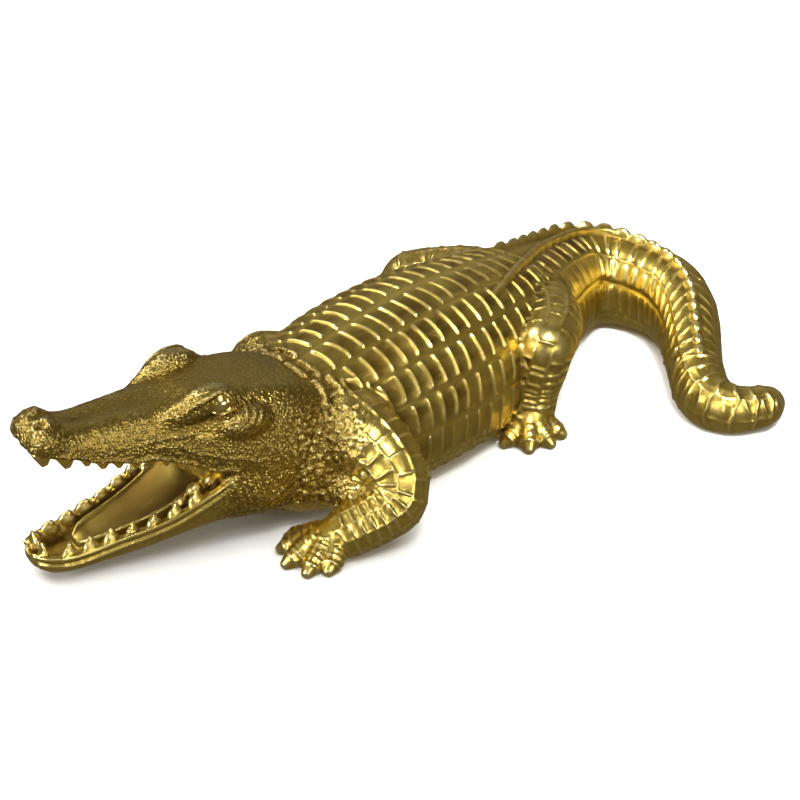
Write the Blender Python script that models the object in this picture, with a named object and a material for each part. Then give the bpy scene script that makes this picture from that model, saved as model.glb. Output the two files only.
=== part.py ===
# Crocodile figurine, cast in one piece. The animal lies low on its belly with open jaws, its head
# turned a little to its right and its tail swung round to its left and hooked at the tip.
# Metres, +Z up. The head points to -X and the left side faces -Y.
import bpy
import bmesh
import math
from mathutils import Matrix, Vector

# Driving sizes.
overall_length = 0.376          # nose to the outside of the tail bend

scute_rib_height = 0.0012       # raised rear edge of each back plate
scute_rib_share = 0.26          # part of a row that the raised edge takes
trunk_row_pitch = 0.0082
plate_stagger = 0.13            # neighbouring columns are offset by this part of a row
tail_rib_height = 0.0009
tail_row_pitch_at_hips = 0.0097
tail_row_pitch_at_tip = 0.0072
crest_height_at_hips = 0.0030
crest_height_at_bend = 0.0042
crest_height_at_tip = 0.0012

lower_tooth_height = 0.0056
lower_tooth_radius = 0.0021
upper_tooth_height = 0.0036
upper_tooth_radius = 0.0017
fang_height = 0.0056
fang_radius = 0.0025
teeth_a_side_lower = 10
teeth_a_side_upper = 11

eye_radius = 0.0052
nostril_radius = 0.0034
jaw_rim_width = 0.0036
mouth_floor_depth = 0.0042
toe_radius = 0.0043

# The pose and the proportions are shares of the length: the tables below count in 376ths of it.
unit = overall_length / 376.0

# Spine from the back of the skull to the tail tip: x, y, underside, back, half width.
spine = [
    (-104, 4, 13, 57, 24), (-90, 2, 7, 61, 28), (-72, 0, 2.4, 62.5, 37), (-50, 0, -0.8, 66.5, 42),
    (-20, 2, -2, 70.5, 46.5), (15, 3, -2.2, 72, 46.5), (45, 4, -2, 70, 41.5), (70, 7, -0.8, 66, 35.5),
    (95, 13, 0.6, 61, 30), (120, 20, 0.6, 55.5, 25.5), (143, 23, 0.6, 51, 22.5),
    (159.5, 15, 0.6, 47.5, 20.5), (167, -2, 0.6, 44.5, 18.8), (166, -22, 0.6, 42, 17),
    (156, -40, 0.4, 38.5, 15.4), (142.5, -54, 0, 34.5, 13.8), (129, -67, -0.5, 30.5, 12.8),
    (117, -79.5, -0.8, 27, 12), (111.5, -91, -0.8, 24, 11.2), (113.5, -100, -0.4, 22, 10.4),
    (120, -105.5, 0.8, 20.5, 9.2), (129, -109.5, 2.2, 19.5, 8.2), (135.5, -112.5, 4.5, 17, 5),
]
scutes_begin = 44
hips_at = 184
crests_begin = 150
crests_meet = 292

# Head frame: origin at the nape, forward along the snout, turned to the animal's right.
nape = (-78, -3)
head_turn = math.radians(15)

# Skull and upper jaw: forward, half width, top, lip.
skull = [
    (-22, 21, 60, 30), (-8, 26, 65, 30), (2, 29, 69.5, 32), (14, 30.2, 72, 34),
    (26, 29.5, 72.5, 38), (34, 28, 72.5, 40), (42, 25.5, 72, 42), (50, 23.5, 70.5, 46),
    (60, 21, 69.5, 49.5), (72, 18.5, 69, 51), (83, 16.5, 68.5, 53), (91, 15, 68.5, 55.5),
    (97, 14.6, 70, 58), (102, 14.4, 72, 59.5), (107, 13, 72, 61), (111, 10.2, 70.5, 62.5),
    (113.6, 5.5, 67.5, 64.5),
]

# Lower jaw: forward, half width, underside, lip, depth of the mouth floor as a share.
jaw = [
    (-10, 24, 14, 36, 0), (6, 29, 12, 41, 0), (18, 30, 12, 41, 0), (27, 29, 12.6, 39, 0),
    (34, 28, 13.4, 36.2, 0.5), (43, 26.5, 13.4, 31.6, 1), (50, 24.8, 12.4, 27.6, 1),
    (58, 22.6, 10.6, 23.4, 1), (68, 20, 8.4, 20, 1), (78, 17.4, 6.6, 17.4, 1), (88, 15.4, 5.2, 14.8, 1),
    (98, 13.8, 4.2, 13, 1), (105, 12, 4.2, 12.8, 1), (110, 8.8, 5.6, 13.2, 0.8), (113.5, 4.6, 8, 13.4, 0.3),
]

# Tongue: forward, half width, top.
tongue = [
    (93, 3, 11.6), (88, 7.4, 14.4), (76, 10.5, 17.6), (64, 13.4, 21.4), (52, 16, 27), (43, 17.5, 33),
    (35, 18, 39.5), (24, 18, 41),
]

# Limbs: x, y, z, radius along the bones.
limbs = {
    "left_arm": [
        [(-52, -12, 39, 15), (-59, -32, 41, 17.5), (-58, -47, 35, 15.5), (-58.5, -58, 27, 13.5)],
        [(-58, -56, 28, 13.5), (-63, -61, 20.5, 12.3), (-71, -59, 16, 11), (-82, -53, 11, 10.5),
         (-90, -47, 6.5, 9)],
        [(-58, -22, 24, 14), (-64, -36, 20, 15), (-67, -49, 17, 12)],
    ],
    "right_arm": [
        [(-52, 16, 39, 15), (-46, 36, 39, 17), (-36, 52, 30, 14.5), (-32, 60, 23, 12.5)],
        [(-32, 54, 27, 13), (-38, 66, 19, 11.5), (-48, 74, 12, 10), (-57, 78, 8.5, 10),
         (-65, 80, 6, 9)],
        [(-50, 24, 24, 14), (-44, 40, 20, 15), (-42, 54, 17, 12)],
    ],
    "left_leg": [
        [(86, 0, 36, 17), (76, -18, 40, 17), (62, -34, 43.5, 13.5), (53, -40, 43.5, 12.5)],
        [(52, -40, 43, 12.6), (50.5, -39, 33, 12), (49, -37, 22, 11), (46, -38, 12, 10.5),
         (41, -41, 6.5, 9)],
    ],
    "right_leg": [
        [(88, 14, 36, 17), (85, 38, 37, 17), (78, 56, 36, 14), (70, 64, 35, 13)],
        [(70, 63, 35, 13), (67, 68, 26, 12), (66, 72, 17, 11), (63, 76, 10, 10.5),
         (59, 80, 6, 9)],
    ],
}

# Toe tips, each with the foot it belongs to: x, y of the knuckle and of the tip.
toes = {
    "left_arm": [(-91, -37, -95, -27.5), (-97, -38.5, -103.5, -32), (-100, -44, -110, -42.5),
                 (-98, -51, -108.5, -54), (-93, -55.5, -101.5, -59.5)],
    "right_arm": [(-62, 71, -69, 64), (-69, 75, -80, 71), (-71, 81, -84, 83), (-68, 86, -77, 92),
                  (-60, 88, -64, 96)],
    "left_leg": [(38, -33, 28.5, -26.5), (35, -40, 26, -39), (36, -46, 30.5, -51.5),
                 (42, -48, 41.5, -55.5), (49, -46, 52, -53.5)],
    "right_leg": [(53, 73, 44, 68), (50, 79, 39, 78), (50, 85, 41, 90), (55, 90, 50, 99),
                  (63, 88, 66, 97)],
}


def read_profile(table, position):
    """Smooth reading of a table whose first column rises."""
    last = len(table) - 1
    position = min(max(position, table[0][0]), table[last][0])
    i = 0
    while i < last - 1 and table[i + 1][0] < position:
        i += 1
    step = table[i + 1][0] - table[i][0]
    t = (position - table[i][0]) / step
    values = []
    for column in range(1, len(table[0])):
        def slope(k):
            a = max(k - 1, 0)
            b = min(k + 1, last)
            return (table[b][column] - table[a][column]) / (table[b][0] - table[a][0])
        v0, v1 = table[i][column], table[i + 1][column]
        m0, m1 = slope(i) * step, slope(i + 1) * step
        values.append((2 * t**3 - 3 * t**2 + 1) * v0 + (t**3 - 2 * t**2 + t) * m0
                      + (3 * t**2 - 2 * t**3) * v1 + (t**3 - t**2) * m1)
    return values


def by_distance(points, columns):
    """The same rows with the distance along the first columns put in front."""
    rows = []
    distance = 0.0
    for i, point in enumerate(points):
        if i:
            distance += math.dist(point[:columns], points[i - 1][:columns])
        rows.append((distance,) + tuple(point))
    return rows


def blend(a, b, t):
    t = min(max(t, 0.0), 1.0)
    t = t * t * (3 - 2 * t)
    return a + (b - a) * t


def power(value, exponent):
    return math.copysign(abs(value) ** exponent, value)


def new_object(name, bm, collection):
    bmesh.ops.recalc_face_normals(bm, faces=bm.faces)
    mesh = bpy.data.meshes.new(name)
    bm.to_mesh(mesh)
    bm.free()
    obj = bpy.data.objects.new(name, mesh)
    collection.objects.link(obj)
    return obj


def loft(name, rings, collection):
    """Skin over closed rings. A ring may have half as many points as the one before."""
    bm = bmesh.new()
    rows = []
    for ring in rings:
        rows.append([bm.verts.new(point) for point in ring])
    for first, second in zip(rows, rows[1:]):
        count = len(second)
        if len(first) == count:
            for j in range(count):
                k = (j + 1) % count
                bm.faces.new((first[j], first[k], second[k], second[j]))
        else:
            for j in range(count):
                k = (j + 1) % count
                wide = len(first)
                bm.faces.new((first[2 * j], first[2 * j + 1], second[j]))
                bm.faces.new((first[2 * j + 1], first[(2 * j + 2) % wide], second[k], second[j]))
    bm.faces.new(list(reversed(rows[0])))
    bm.faces.new(rows[-1])
    return new_object(name, bm, collection)


def tube(name, points, sides_level, collection):
    """Round bar through points with a radius each, made as a bevelled curve."""
    rows = by_distance(points, 3)
    samples = len(points)
    curve = bpy.data.curves.new(name, "CURVE")
    curve.dimensions = "3D"
    curve.bevel_depth = unit
    curve.bevel_resolution = sides_level
    curve.use_fill_caps = True
    spline = curve.splines.new("POLY")
    spline.points.add(samples - 1)
    for i in range(samples):
        x, y, z, r = read_profile(rows, rows[-1][0] * i / (samples - 1))
        spline.points[i].co = (x * unit, y * unit, z * unit, 1.0)
        spline.points[i].radius = r
    obj = bpy.data.objects.new(name + "_line", curve)
    collection.objects.link(obj)
    bpy.context.view_layer.update()
    graph = bpy.context.evaluated_depsgraph_get()
    mesh = bpy.data.meshes.new_from_object(obj.evaluated_get(graph))
    bpy.data.objects.remove(obj)
    bm = bmesh.new()
    bm.from_mesh(mesh)
    bmesh.ops.remove_doubles(bm, verts=bm.verts, dist=0.00005)
    bpy.data.meshes.remove(mesh)
    return new_object(name, bm, collection)


def ball(name, centre, radii, turn, segments, collection):
    bm = bmesh.new()
    bmesh.ops.create_uvsphere(bm, u_segments=segments, v_segments=max(4, segments // 2 + 1), radius=1.0)
    size = Matrix.Diagonal((radii[0], radii[1], radii[2], 1.0))
    bm.transform(Matrix.Translation(centre) @ Matrix.Rotation(turn, 4, "Z") @ size)
    return new_object(name, bm, collection)


def cone(name, foot, tip, radius, sides, collection):
    axis = tip - foot
    bm = bmesh.new()
    bmesh.ops.create_cone(bm, cap_ends=True, segments=sides, radius1=radius, radius2=radius * 0.16,
                          depth=axis.length)
    turn = Vector((0, 0, 1)).rotation_difference(axis.normalized()).to_matrix().to_4x4()
    bm.transform(Matrix.Translation((foot + tip) / 2) @ turn)
    return new_object(name, bm, collection)


spine_rows = by_distance(spine, 2)
spine_length = spine_rows[-1][0]


def spine_frame(s):
    """Point, side direction and the section sizes at a distance along the spine."""
    x, y, under, back, half = read_profile(spine_rows, s)
    ahead = read_profile(spine_rows, s + 1.5)
    behind = read_profile(spine_rows, s - 1.5)
    along = Vector((ahead[0] - behind[0], ahead[1] - behind[1], 0)).normalized()
    return x, y, under, back, half, Vector((-along.y, along.x, 0))


def spine_point(s, angle, lift, top_drop):
    """Point on the body surface. The angle counts from the top, positive to the right side."""
    x, y, under, back, half, side = spine_frame(s)
    back -= top_drop
    middle = under + 0.42 * (back - under)
    above = math.cos(angle) > 0
    reach = back - middle if above else middle - under
    squareness = 2.2 if above else 2.9
    across = half * power(math.sin(angle), 2 / squareness)
    height = middle + reach * power(math.cos(angle), 2 / squareness)
    across += lift * math.sin(angle)
    height += lift * math.cos(angle)
    return Vector((x, y, 0)) * unit + side * (across * unit) + Vector((0, 0, height * unit))


# Trunk ring: ten columns of back plates with two points each, then the belly.
plate_columns = 10
plate_turn = math.radians(216) / plate_columns
trunk_angles = [plate_turn * k / 2 for k in range(-plate_columns, plate_columns + 1)]
trunk_angles += [math.radians(a) for a in (147, 180, 213)]
trunk_angles = trunk_angles[plate_columns:] + trunk_angles[:plate_columns]

tail_half_angles = [math.radians(a) for a in (27, 56, 86, 115, 146, 180)]
rib = scute_rib_height / unit
tail_rib = tail_rib_height / unit


def crest_height(s):
    bend = spine_length * 0.62
    if s < bend:
        return blend(crest_height_at_hips, crest_height_at_bend, (s - hips_at) / (bend - hips_at)) / unit
    return blend(crest_height_at_bend, crest_height_at_tip, (s - bend) / (spine_length - bend)) / unit


def trunk_ring(s, rib_part):
    """rib_part is 1 on a row's raised edge, 0 on its flat."""
    ring = []
    for i, angle in enumerate(trunk_angles):
        signed = i if i <= plate_columns else i - len(trunk_angles)
        on_back = abs(signed) <= plate_columns
        shift = 0.0
        lift = 0.0
        if on_back:
            fade = blend(1.0, 0.4, (abs(angle) - 1.15) / 0.7)
            if signed % 2 == 0:
                lift = rib * rib_part * fade * 0.3
            else:
                column = (signed - 1) // 2
                shift = plate_stagger * (1 if column % 2 == 0 else -1) * trunk_row_pitch / unit
                lift = rib * rib_part * fade
        if s < scutes_begin or s > hips_at - 4:
            shift = 0.0
        if abs(signed) == 3:
            rise = blend(0.0, 1.0, (s - crests_begin) / (hips_at - crests_begin))
            lift += crest_height(hips_at) * rise * (0.55 + 0.45 * rib_part)
        ring.append(spine_point(s + shift, angle, lift, 0.0))
    return ring


def tail_ring(s, rib_part):
    pair = blend(1.0, 0.0, (s - crests_meet + 12) / 24)
    apart = blend(math.radians(30), math.radians(11), (s - hips_at) / (crests_meet - hips_at))
    crest = crest_height(s) * (0.35 + 0.65 * rib_part)
    ring = []
    for k in range(12):
        signed = k if k <= 6 else k - 12
        if signed == 0:
            angle = 0.0
            lift = crest * (1 - pair)
        else:
            angle = tail_half_angles[abs(signed) - 1]
            lift = tail_rib * rib_part * (1.0 if abs(signed) < 5 else 0.4)
            if abs(signed) == 1:
                angle = apart * pair + angle * (1 - pair)
                lift = crest * pair + lift * (1 - pair)
            angle = math.copysign(angle, signed)
        ring.append(spine_point(s, angle, lift, 0.5 * crest_height(s)))
    return ring


def body_rings():
    rings = []
    for s in (7, 16, 26, 36):
        rings.append(trunk_ring(s, 0.0))
    pitch = trunk_row_pitch / unit
    rows = round((hips_at - scutes_begin) / pitch)
    pitch = (hips_at - scutes_begin) / rows
    for row in range(rows):
        start = scutes_begin + row * pitch
        rings.append(trunk_ring(start, 0.0))
        rings.append(trunk_ring(start + pitch * (1 - scute_rib_share), 0.0))
        rings.append(trunk_ring(start + pitch * (1 - scute_rib_share / 2), 1.0))
    s = float(hips_at)
    end = spine_length - 6
    while s < end:
        part = (s - hips_at) / (end - hips_at)
        step = (tail_row_pitch_at_hips + (tail_row_pitch_at_tip - tail_row_pitch_at_hips) * part) / unit
        rings.append(tail_ring(s + 0.12 * step, 0.0))
        rings.append(tail_ring(s + 0.88 * step, 1.0))
        s += step
    x, y, under, back, half, side = spine_frame(spine_length)
    tip = []
    along = Vector((side.y, -side.x, 0))
    for point in tail_ring(spine_length, 0.0):
        middle = Vector((x, y, (under + back) / 2)) * unit
        tip.append(middle + (point - middle) * 0.62 + along * 1.2 * unit)
    rings.append(tail_ring(spine_length - 1.0, 0.0))
    rings.append(tip)
    return rings


forward = Vector((-math.cos(head_turn), math.sin(head_turn), 0))
rightward = Vector((math.sin(head_turn), math.cos(head_turn), 0))


def in_head(ahead, across, height):
    spot = Vector((nape[0], nape[1], 0)) + forward * ahead + rightward * across
    return Vector((spot.x, spot.y, height)) * unit


def mirrored(half):
    """Ring from a half section whose first and last points lie on the middle plane."""
    return half + [(-across, height) for across, height in reversed(half[1:-1])]


def skull_rings():
    rings = []
    rim = jaw_rim_width / unit
    for ahead, half, top, lip in skull:
        tall = top - lip
        palate = min(3.2, 0.3 * tall) if ahead > 40 else 0.0
        inner = max(half * 0.93 - rim, half * 0.45)
        shape = mirrored([
            (0, top), (0.34 * half, top - 0.01 * tall), (0.60 * half, top - 0.05 * tall),
            (0.80 * half, top - 0.20 * tall), (0.94 * half, top - 0.48 * tall),
            (half, top - 0.80 * tall), (0.95 * half, lip), (inner, lip + 0.2),
            (inner * 0.7, lip + palate), (0, lip + palate * 1.2),
        ])
        rings.append([in_head(ahead, across, height) for across, height in shape])
    return rings


def jaw_rings():
    rings = []
    rim = jaw_rim_width / unit
    deep = mouth_floor_depth / unit
    for ahead, half, under, lip, depth in jaw:
        tall = lip - under
        inner = max(half - rim, half * 0.5)
        floor_edge = max(inner - 1.6, half * 0.3)
        shape = mirrored([
            (0, under), (0.55 * half, under), (0.86 * half, under + 0.16 * tall),
            (half, under + 0.52 * tall), (half - 0.5, lip), (inner, lip),
            (floor_edge, lip - deep * depth), (0, lip - deep * depth),
        ])
        rings.append([in_head(ahead, across, height) for across, height in shape])
    return rings


def tongue_rings():
    rings = []
    for ahead, half, top in tongue:
        shape = mirrored([(0, top), (0.62 * half, top), (0.92 * half, top - 0.7), (half, top - 2.4),
                          (0.9 * half, top - 7), (0, top - 7)])
        rings.append([in_head(ahead, across, height) for across, height in shape])
    return rings


def add_teeth(collection):
    jaw_table = [row[:4] for row in jaw]
    for side in (-1, 1):
        for i in range(teeth_a_side_lower):
            ahead = 104 - i * 66 / (teeth_a_side_lower - 1)
            half, under, lip = read_profile(jaw_table, ahead)
            across = half - 0.55 * jaw_rim_width / unit
            size = 0.82 + 0.30 * math.sin(i * 2.3 + 1.2) ** 2
            foot = in_head(ahead, side * across, lip - 1.2)
            tip = in_head(ahead, side * (across - 0.8), lip + lower_tooth_height / unit * size)
            cone("lower_tooth", foot, tip, lower_tooth_radius * size, 4, collection)
        for i in range(teeth_a_side_upper):
            ahead = 94.5 - i * 54 / (teeth_a_side_upper - 1)
            half, top, lip = read_profile(skull, ahead)
            across = 0.95 * half - 0.35 * jaw_rim_width / unit
            size = 0.85 + 0.30 * math.sin(i * 1.9 + 0.5) ** 2
            foot = in_head(ahead, side * across, lip + 1.4)
            tip = in_head(ahead, side * (across + 0.2), lip - upper_tooth_height / unit * size)
            cone("upper_tooth", foot, tip, upper_tooth_radius * size, 4, collection)
        for ahead in (106, 100):
            half, top, lip = read_profile(skull, ahead)
            across = 0.95 * half - 0.5 * fang_radius / unit
            foot = in_head(ahead, side * across, lip + 2.0)
            tip = in_head(ahead - 0.6, side * across, lip - fang_height / unit + 0.6)
            cone("fang", foot, tip, fang_radius, 5, collection)
        foot = in_head(109.5, side * 4.0, 12)
        tip = in_head(110.2, side * 5.4, 13.2 + lower_tooth_height / unit)
        cone("front_tooth", foot, tip, lower_tooth_radius, 5, collection)


def add_face(collection):
    turn = math.pi - head_turn
    for side in (-1, 1):
        ball("brow", in_head(37, side * 20.4, 70.4), (13 * unit, 5.8 * unit, 7.6 * unit),
             turn + side * math.radians(8), 8, collection)
        ball("eye", in_head(36.5, side * 22.8, 70.6), (eye_radius, eye_radius, eye_radius * 0.9),
             turn, 8, collection)
        ball("nostril", in_head(104, side * 5, 70.8), (nostril_radius * 1.2, nostril_radius,
                                                       nostril_radius * 0.8), turn, 6, collection)


def add_limbs(collection):
    for name, bones in limbs.items():
        for i, bone in enumerate(bones):
            tube(name + "_bone_%d" % i, bone, 2, collection)
        knee = bones[1][0]
        ball(name + "_joint", Vector(knee[:3]) * unit, (knee[3] * 1.04 * unit,) * 3, 0.0, 8, collection)
        foot = bones[1][-1]
        heel = bones[1][-2]
        for i, (kx, ky, tx, ty) in enumerate(toes[name]):
            bone = toe_radius / unit
            start = (foot[0] * 0.45 + heel[0] * 0.2 + kx * 0.35, foot[1] * 0.45 + heel[1] * 0.2 + ky * 0.35)
            path = [(start[0], start[1], 6.4, bone * 1.12), (kx, ky, 5.2, bone * 1.06),
                    (kx + (tx - kx) * 0.55, ky + (ty - ky) * 0.55, 3.6, bone * 0.92),
                    (tx, ty, 1.3, bone * 0.38)]
            tube(name + "_toe_%d" % i, path, 1, collection)
        ball(name + "_palm", Vector((foot[0], foot[1], 4.4)) * unit, (10.5 * unit, 10.5 * unit, 6.8 * unit),
             0.0, 8, collection)


def main():
    for obj in list(bpy.data.objects):
        bpy.data.objects.remove(obj)
    home = bpy.data.collections.new("crocodile_figurine")
    bpy.context.scene.collection.children.link(home)
    shapes = bpy.data.collections.new("shapes")
    bpy.context.scene.collection.children.link(shapes)
    cutters = bpy.data.collections.new("cutters")
    bpy.context.scene.collection.children.link(cutters)

    crocodile = loft("crocodile", body_rings(), home)
    loft("skull", skull_rings(), shapes)
    loft("lower_jaw", jaw_rings(), shapes)
    loft("tongue", tongue_rings(), shapes)
    add_face(shapes)
    add_teeth(shapes)
    add_limbs(shapes)

    union = crocodile.modifiers.new("cast in one", "BOOLEAN")
    union.operation = "UNION"
    union.solver = "EXACT"
    union.operand_type = "COLLECTION"
    union.collection = shapes
    union.use_self = True

    # The soles and the belly are ground flat on one plane.
    bm = bmesh.new()
    bmesh.ops.create_cube(bm, size=1.0)
    deep = 0.04
    size = Matrix.Diagonal((overall_length * 1.5, overall_length * 1.5, deep, 1.0))
    bm.transform(Matrix.Translation((0, 0, -deep / 2)) @ size)
    floor = new_object("floor_cutter", bm, cutters)
    floor.hide_render = True
    floor.display_type = "WIRE"
    trim = crocodile.modifiers.new("flat underside", "BOOLEAN")
    trim.operation = "DIFFERENCE"
    trim.solver = "EXACT"
    trim.object = floor

    bpy.context.view_layer.update()
    graph = bpy.context.evaluated_depsgraph_get()
    mesh = bpy.data.meshes.new_from_object(crocodile.evaluated_get(graph))
    crocodile.modifiers.clear()
    for obj in list(shapes.objects) + list(cutters.objects):
        bpy.data.objects.remove(obj)
    bpy.data.collections.remove(shapes)
    bpy.data.collections.remove(cutters)

    # The origin lies on the floor below the middle of the outline.
    xs = [vertex.co.x for vertex in mesh.vertices]
    ys = [vertex.co.y for vertex in mesh.vertices]
    zs = [vertex.co.z for vertex in mesh.vertices]
    mesh.transform(Matrix.Translation((-(min(xs) + max(xs)) / 2, -(min(ys) + max(ys)) / 2, -min(zs))))
    crocodile.data = mesh
    mesh.name = "crocodile"
    mesh.shade_smooth()
    mesh.set_sharp_from_angle(angle=math.radians(48))

    gold = bpy.data.materials.new("gold_finish")
    gold.use_nodes = True
    shader = gold.node_tree.nodes["Principled BSDF"]
    shader.inputs["Base Color"].default_value = (0.66, 0.47, 0.15, 1.0)
    shader.inputs["Metallic"].default_value = 1.0
    shader.inputs["Roughness"].default_value = 0.32
    mesh.materials.clear()
    mesh.materials.append(gold)


main()
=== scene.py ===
# Gold-finished crocodile ornament, cast in one piece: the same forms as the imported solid, with its
# scutes, crests, teeth, toe rings and skin worked out in full. Tables and lengths are in millimetres.
import math
import bpy
import bmesh
import numpy as np
from mathutils import Matrix, Vector, noise
from mathutils.bvhtree import BVHTree


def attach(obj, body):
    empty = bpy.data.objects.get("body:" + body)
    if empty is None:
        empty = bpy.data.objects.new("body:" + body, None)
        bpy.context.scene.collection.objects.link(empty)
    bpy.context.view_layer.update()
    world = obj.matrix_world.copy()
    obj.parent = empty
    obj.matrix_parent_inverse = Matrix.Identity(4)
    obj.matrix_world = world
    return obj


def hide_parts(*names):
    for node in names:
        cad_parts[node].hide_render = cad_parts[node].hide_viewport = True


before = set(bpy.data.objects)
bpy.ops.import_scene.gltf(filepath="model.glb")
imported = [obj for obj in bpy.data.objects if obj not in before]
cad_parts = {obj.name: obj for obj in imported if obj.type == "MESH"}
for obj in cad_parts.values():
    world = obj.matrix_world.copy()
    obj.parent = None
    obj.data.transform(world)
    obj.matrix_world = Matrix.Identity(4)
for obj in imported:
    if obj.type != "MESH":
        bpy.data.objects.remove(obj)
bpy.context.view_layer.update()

castSettings = {
    "formVoxel": 0.9,         # first pass: body, head and limbs flow into each other
    "formSmoothing": 8,
    "neckSmoothing": 45,      # the head runs into the shoulders without a step
    "reliefVoxel": 0.44,      # second pass: the raised lines, teeth and crests
    "reliefSmoothing": 1,
    "triangles": 196000,
    "middle": (1.23, 9.0),    # how far the drawing's origin lies from the middle of the outline
}


# Reading of tables

def readTable(table, at):
    # smooth reading between the rows, one result column for each column after the first
    rows = np.asarray(table, float)
    at = np.clip(np.asarray(at, float), rows[0, 0], rows[-1, 0])
    k = np.clip(np.searchsorted(rows[:, 0], at, side="right") - 1, 0, len(rows) - 2)
    slopes = np.empty_like(rows[:, 1:])
    slopes[1:-1] = (rows[2:, 1:] - rows[:-2, 1:]) / (rows[2:, :1] - rows[:-2, :1])
    slopes[0] = (rows[1, 1:] - rows[0, 1:]) / (rows[1, 0] - rows[0, 0])
    slopes[-1] = (rows[-1, 1:] - rows[-2, 1:]) / (rows[-1, 0] - rows[-2, 0])
    step = (rows[k + 1, 0] - rows[k, 0])[..., None]
    t = (at[..., None] - rows[k, 0][..., None]) / step
    return ((2 * t**3 - 3 * t**2 + 1) * rows[k, 1:] + (t**3 - 2 * t**2 + t) * slopes[k] * step
            + (3 * t**2 - 2 * t**3) * rows[k + 1, 1:] + (t**3 - t**2) * slopes[k + 1] * step)


def byDistance(points, columns):
    # the same rows with the distance along the first columns put in front
    rows = np.asarray(points, float)
    steps = np.linalg.norm(np.diff(rows[:, :columns], axis=0), axis=1)
    return np.column_stack([np.concatenate([[0.0], np.cumsum(steps)]), rows])


def ease(value, low, high):
    t = np.clip((value - low) / (high - low), 0.0, 1.0)
    return t * t * (3 - 2 * t)


def keepSign(value, exponent):
    return np.sign(value) * np.abs(value) ** exponent


def shuffle(number, seed):
    # steady made-up value between 0 and 1 for a whole number
    return (math.sin(number * 12.9898 + seed * 78.233) * 43758.5453) % 1.0


# Body: distance along the spine and angle round it, counted from the top, positive to the right side

spine = [
    # x, y, underside, back, half width
    (-104, 4, 13, 57, 24), (-90, 2, 7, 61, 28), (-72, 0, 2.4, 62.5, 37), (-50, 0, -0.8, 66.5, 42),
    (-20, 2, -2, 70.5, 46.5), (15, 3, -2.2, 72, 46.5), (45, 4, -2, 70, 41.5), (70, 7, -0.8, 66, 35.5),
    (95, 13, 0.6, 61, 30), (120, 20, 0.6, 55.5, 25.5), (143, 23, 0.6, 51, 22.5),
    (159.5, 15, 0.6, 47.5, 20.5), (167, -2, 0.6, 44.5, 18.8), (166, -22, 0.6, 42, 17),
    (156, -40, 0.4, 38.5, 15.4), (142.5, -54, 0, 34.5, 13.8), (129, -67, -0.5, 30.5, 12.8),
    (117, -79.5, -0.8, 27, 12), (111.5, -91, -0.8, 24, 11.2), (113.5, -100, -0.4, 22, 10.4),
    (120, -105.5, 0.8, 20.5, 9.2), (129, -109.5, 2.2, 19.5, 8.2), (135.5, -112.5, 4.5, 17, 5),
]
spineRows = byDistance(spine, 2)
spineLength = spineRows[-1, 0]
backSettings = {
    "squareness": (2.2, 2.9),             # section above and below its middle
    "middleShare": 0.42,
    "sides": 96,
    "bodyBegins": 7,
    "tipRounding": 5,
    "scutesBegin": 44,
    "hipsAt": 184,
    "rowPitch": 8.2,
    "columns": 10,
    "columnTurn": math.radians(21.6),
    "stagger": 0.13,
    "barWidth": 0.86,
    "crestsBegin": 150,
    "crestsMeet": 268,
    "crestsEnd": 376,
    "tailPitch": (9.7, 7.2),
    "crestHeights": (3.0, 4.2, 1.2),      # hips, bend, tip
    "tierAngles": (40, 71, 107),          # lines along the tail's side, in degrees from the top
    "tipPitch": 6.9,
}
crestPath = [
    # distance, angle of the two crests from the top in degrees
    (140, 31), (152, 27), (170, 20), (184, 15.5), (200, 10.5), (220, 9), (245, 7), (268, 2), (290, 0),
]
rowCount = round((backSettings["hipsAt"] - backSettings["scutesBegin"]) / backSettings["rowPitch"])
rowPitch = (backSettings["hipsAt"] - backSettings["scutesBegin"]) / rowCount


def crestHeight(s):
    atHips, atBend, atTip = backSettings["crestHeights"]
    bend = spineLength * 0.62
    near = atHips + (atBend - atHips) * ease(s, backSettings["hipsAt"], bend)
    return np.where(s < bend, near, atBend + (atTip - atBend) * ease(s, bend, spineLength))


def bodyFrame(s):
    spot = readTable(spineRows, s)
    step = readTable(spineRows, s + 1.5)[..., :2] - readTable(spineRows, s - 1.5)[..., :2]
    along = step / np.linalg.norm(step, axis=-1, keepdims=True)
    side = np.stack([-along[..., 1], along[..., 0]], -1)
    return spot, along, side


def bodySection(spot, s):
    under, back, half = spot[..., 2], spot[..., 3], spot[..., 4]
    back = back - 0.5 * crestHeight(s) * ease(s, 176, 192)
    middle = under + backSettings["middleShare"] * (back - under)
    return under, back, half, middle


def bodyPoint(s, angle, lift=0.0):
    s, angle = np.broadcast_arrays(np.asarray(s, float), np.asarray(angle, float))
    spot, _, side = bodyFrame(s)
    under, back, half, middle = bodySection(spot, s)
    above = np.cos(angle) > 0
    reach = np.where(above, back - middle, middle - under)
    squareness = np.where(above, *backSettings["squareness"])
    across = half * keepSign(np.sin(angle), 2 / squareness) + lift * np.sin(angle)
    height = middle + reach * keepSign(np.cos(angle), 2 / squareness) + lift * np.cos(angle)
    return np.concatenate([spot[..., :2] + side * across[..., None], height[..., None]], -1)


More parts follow.
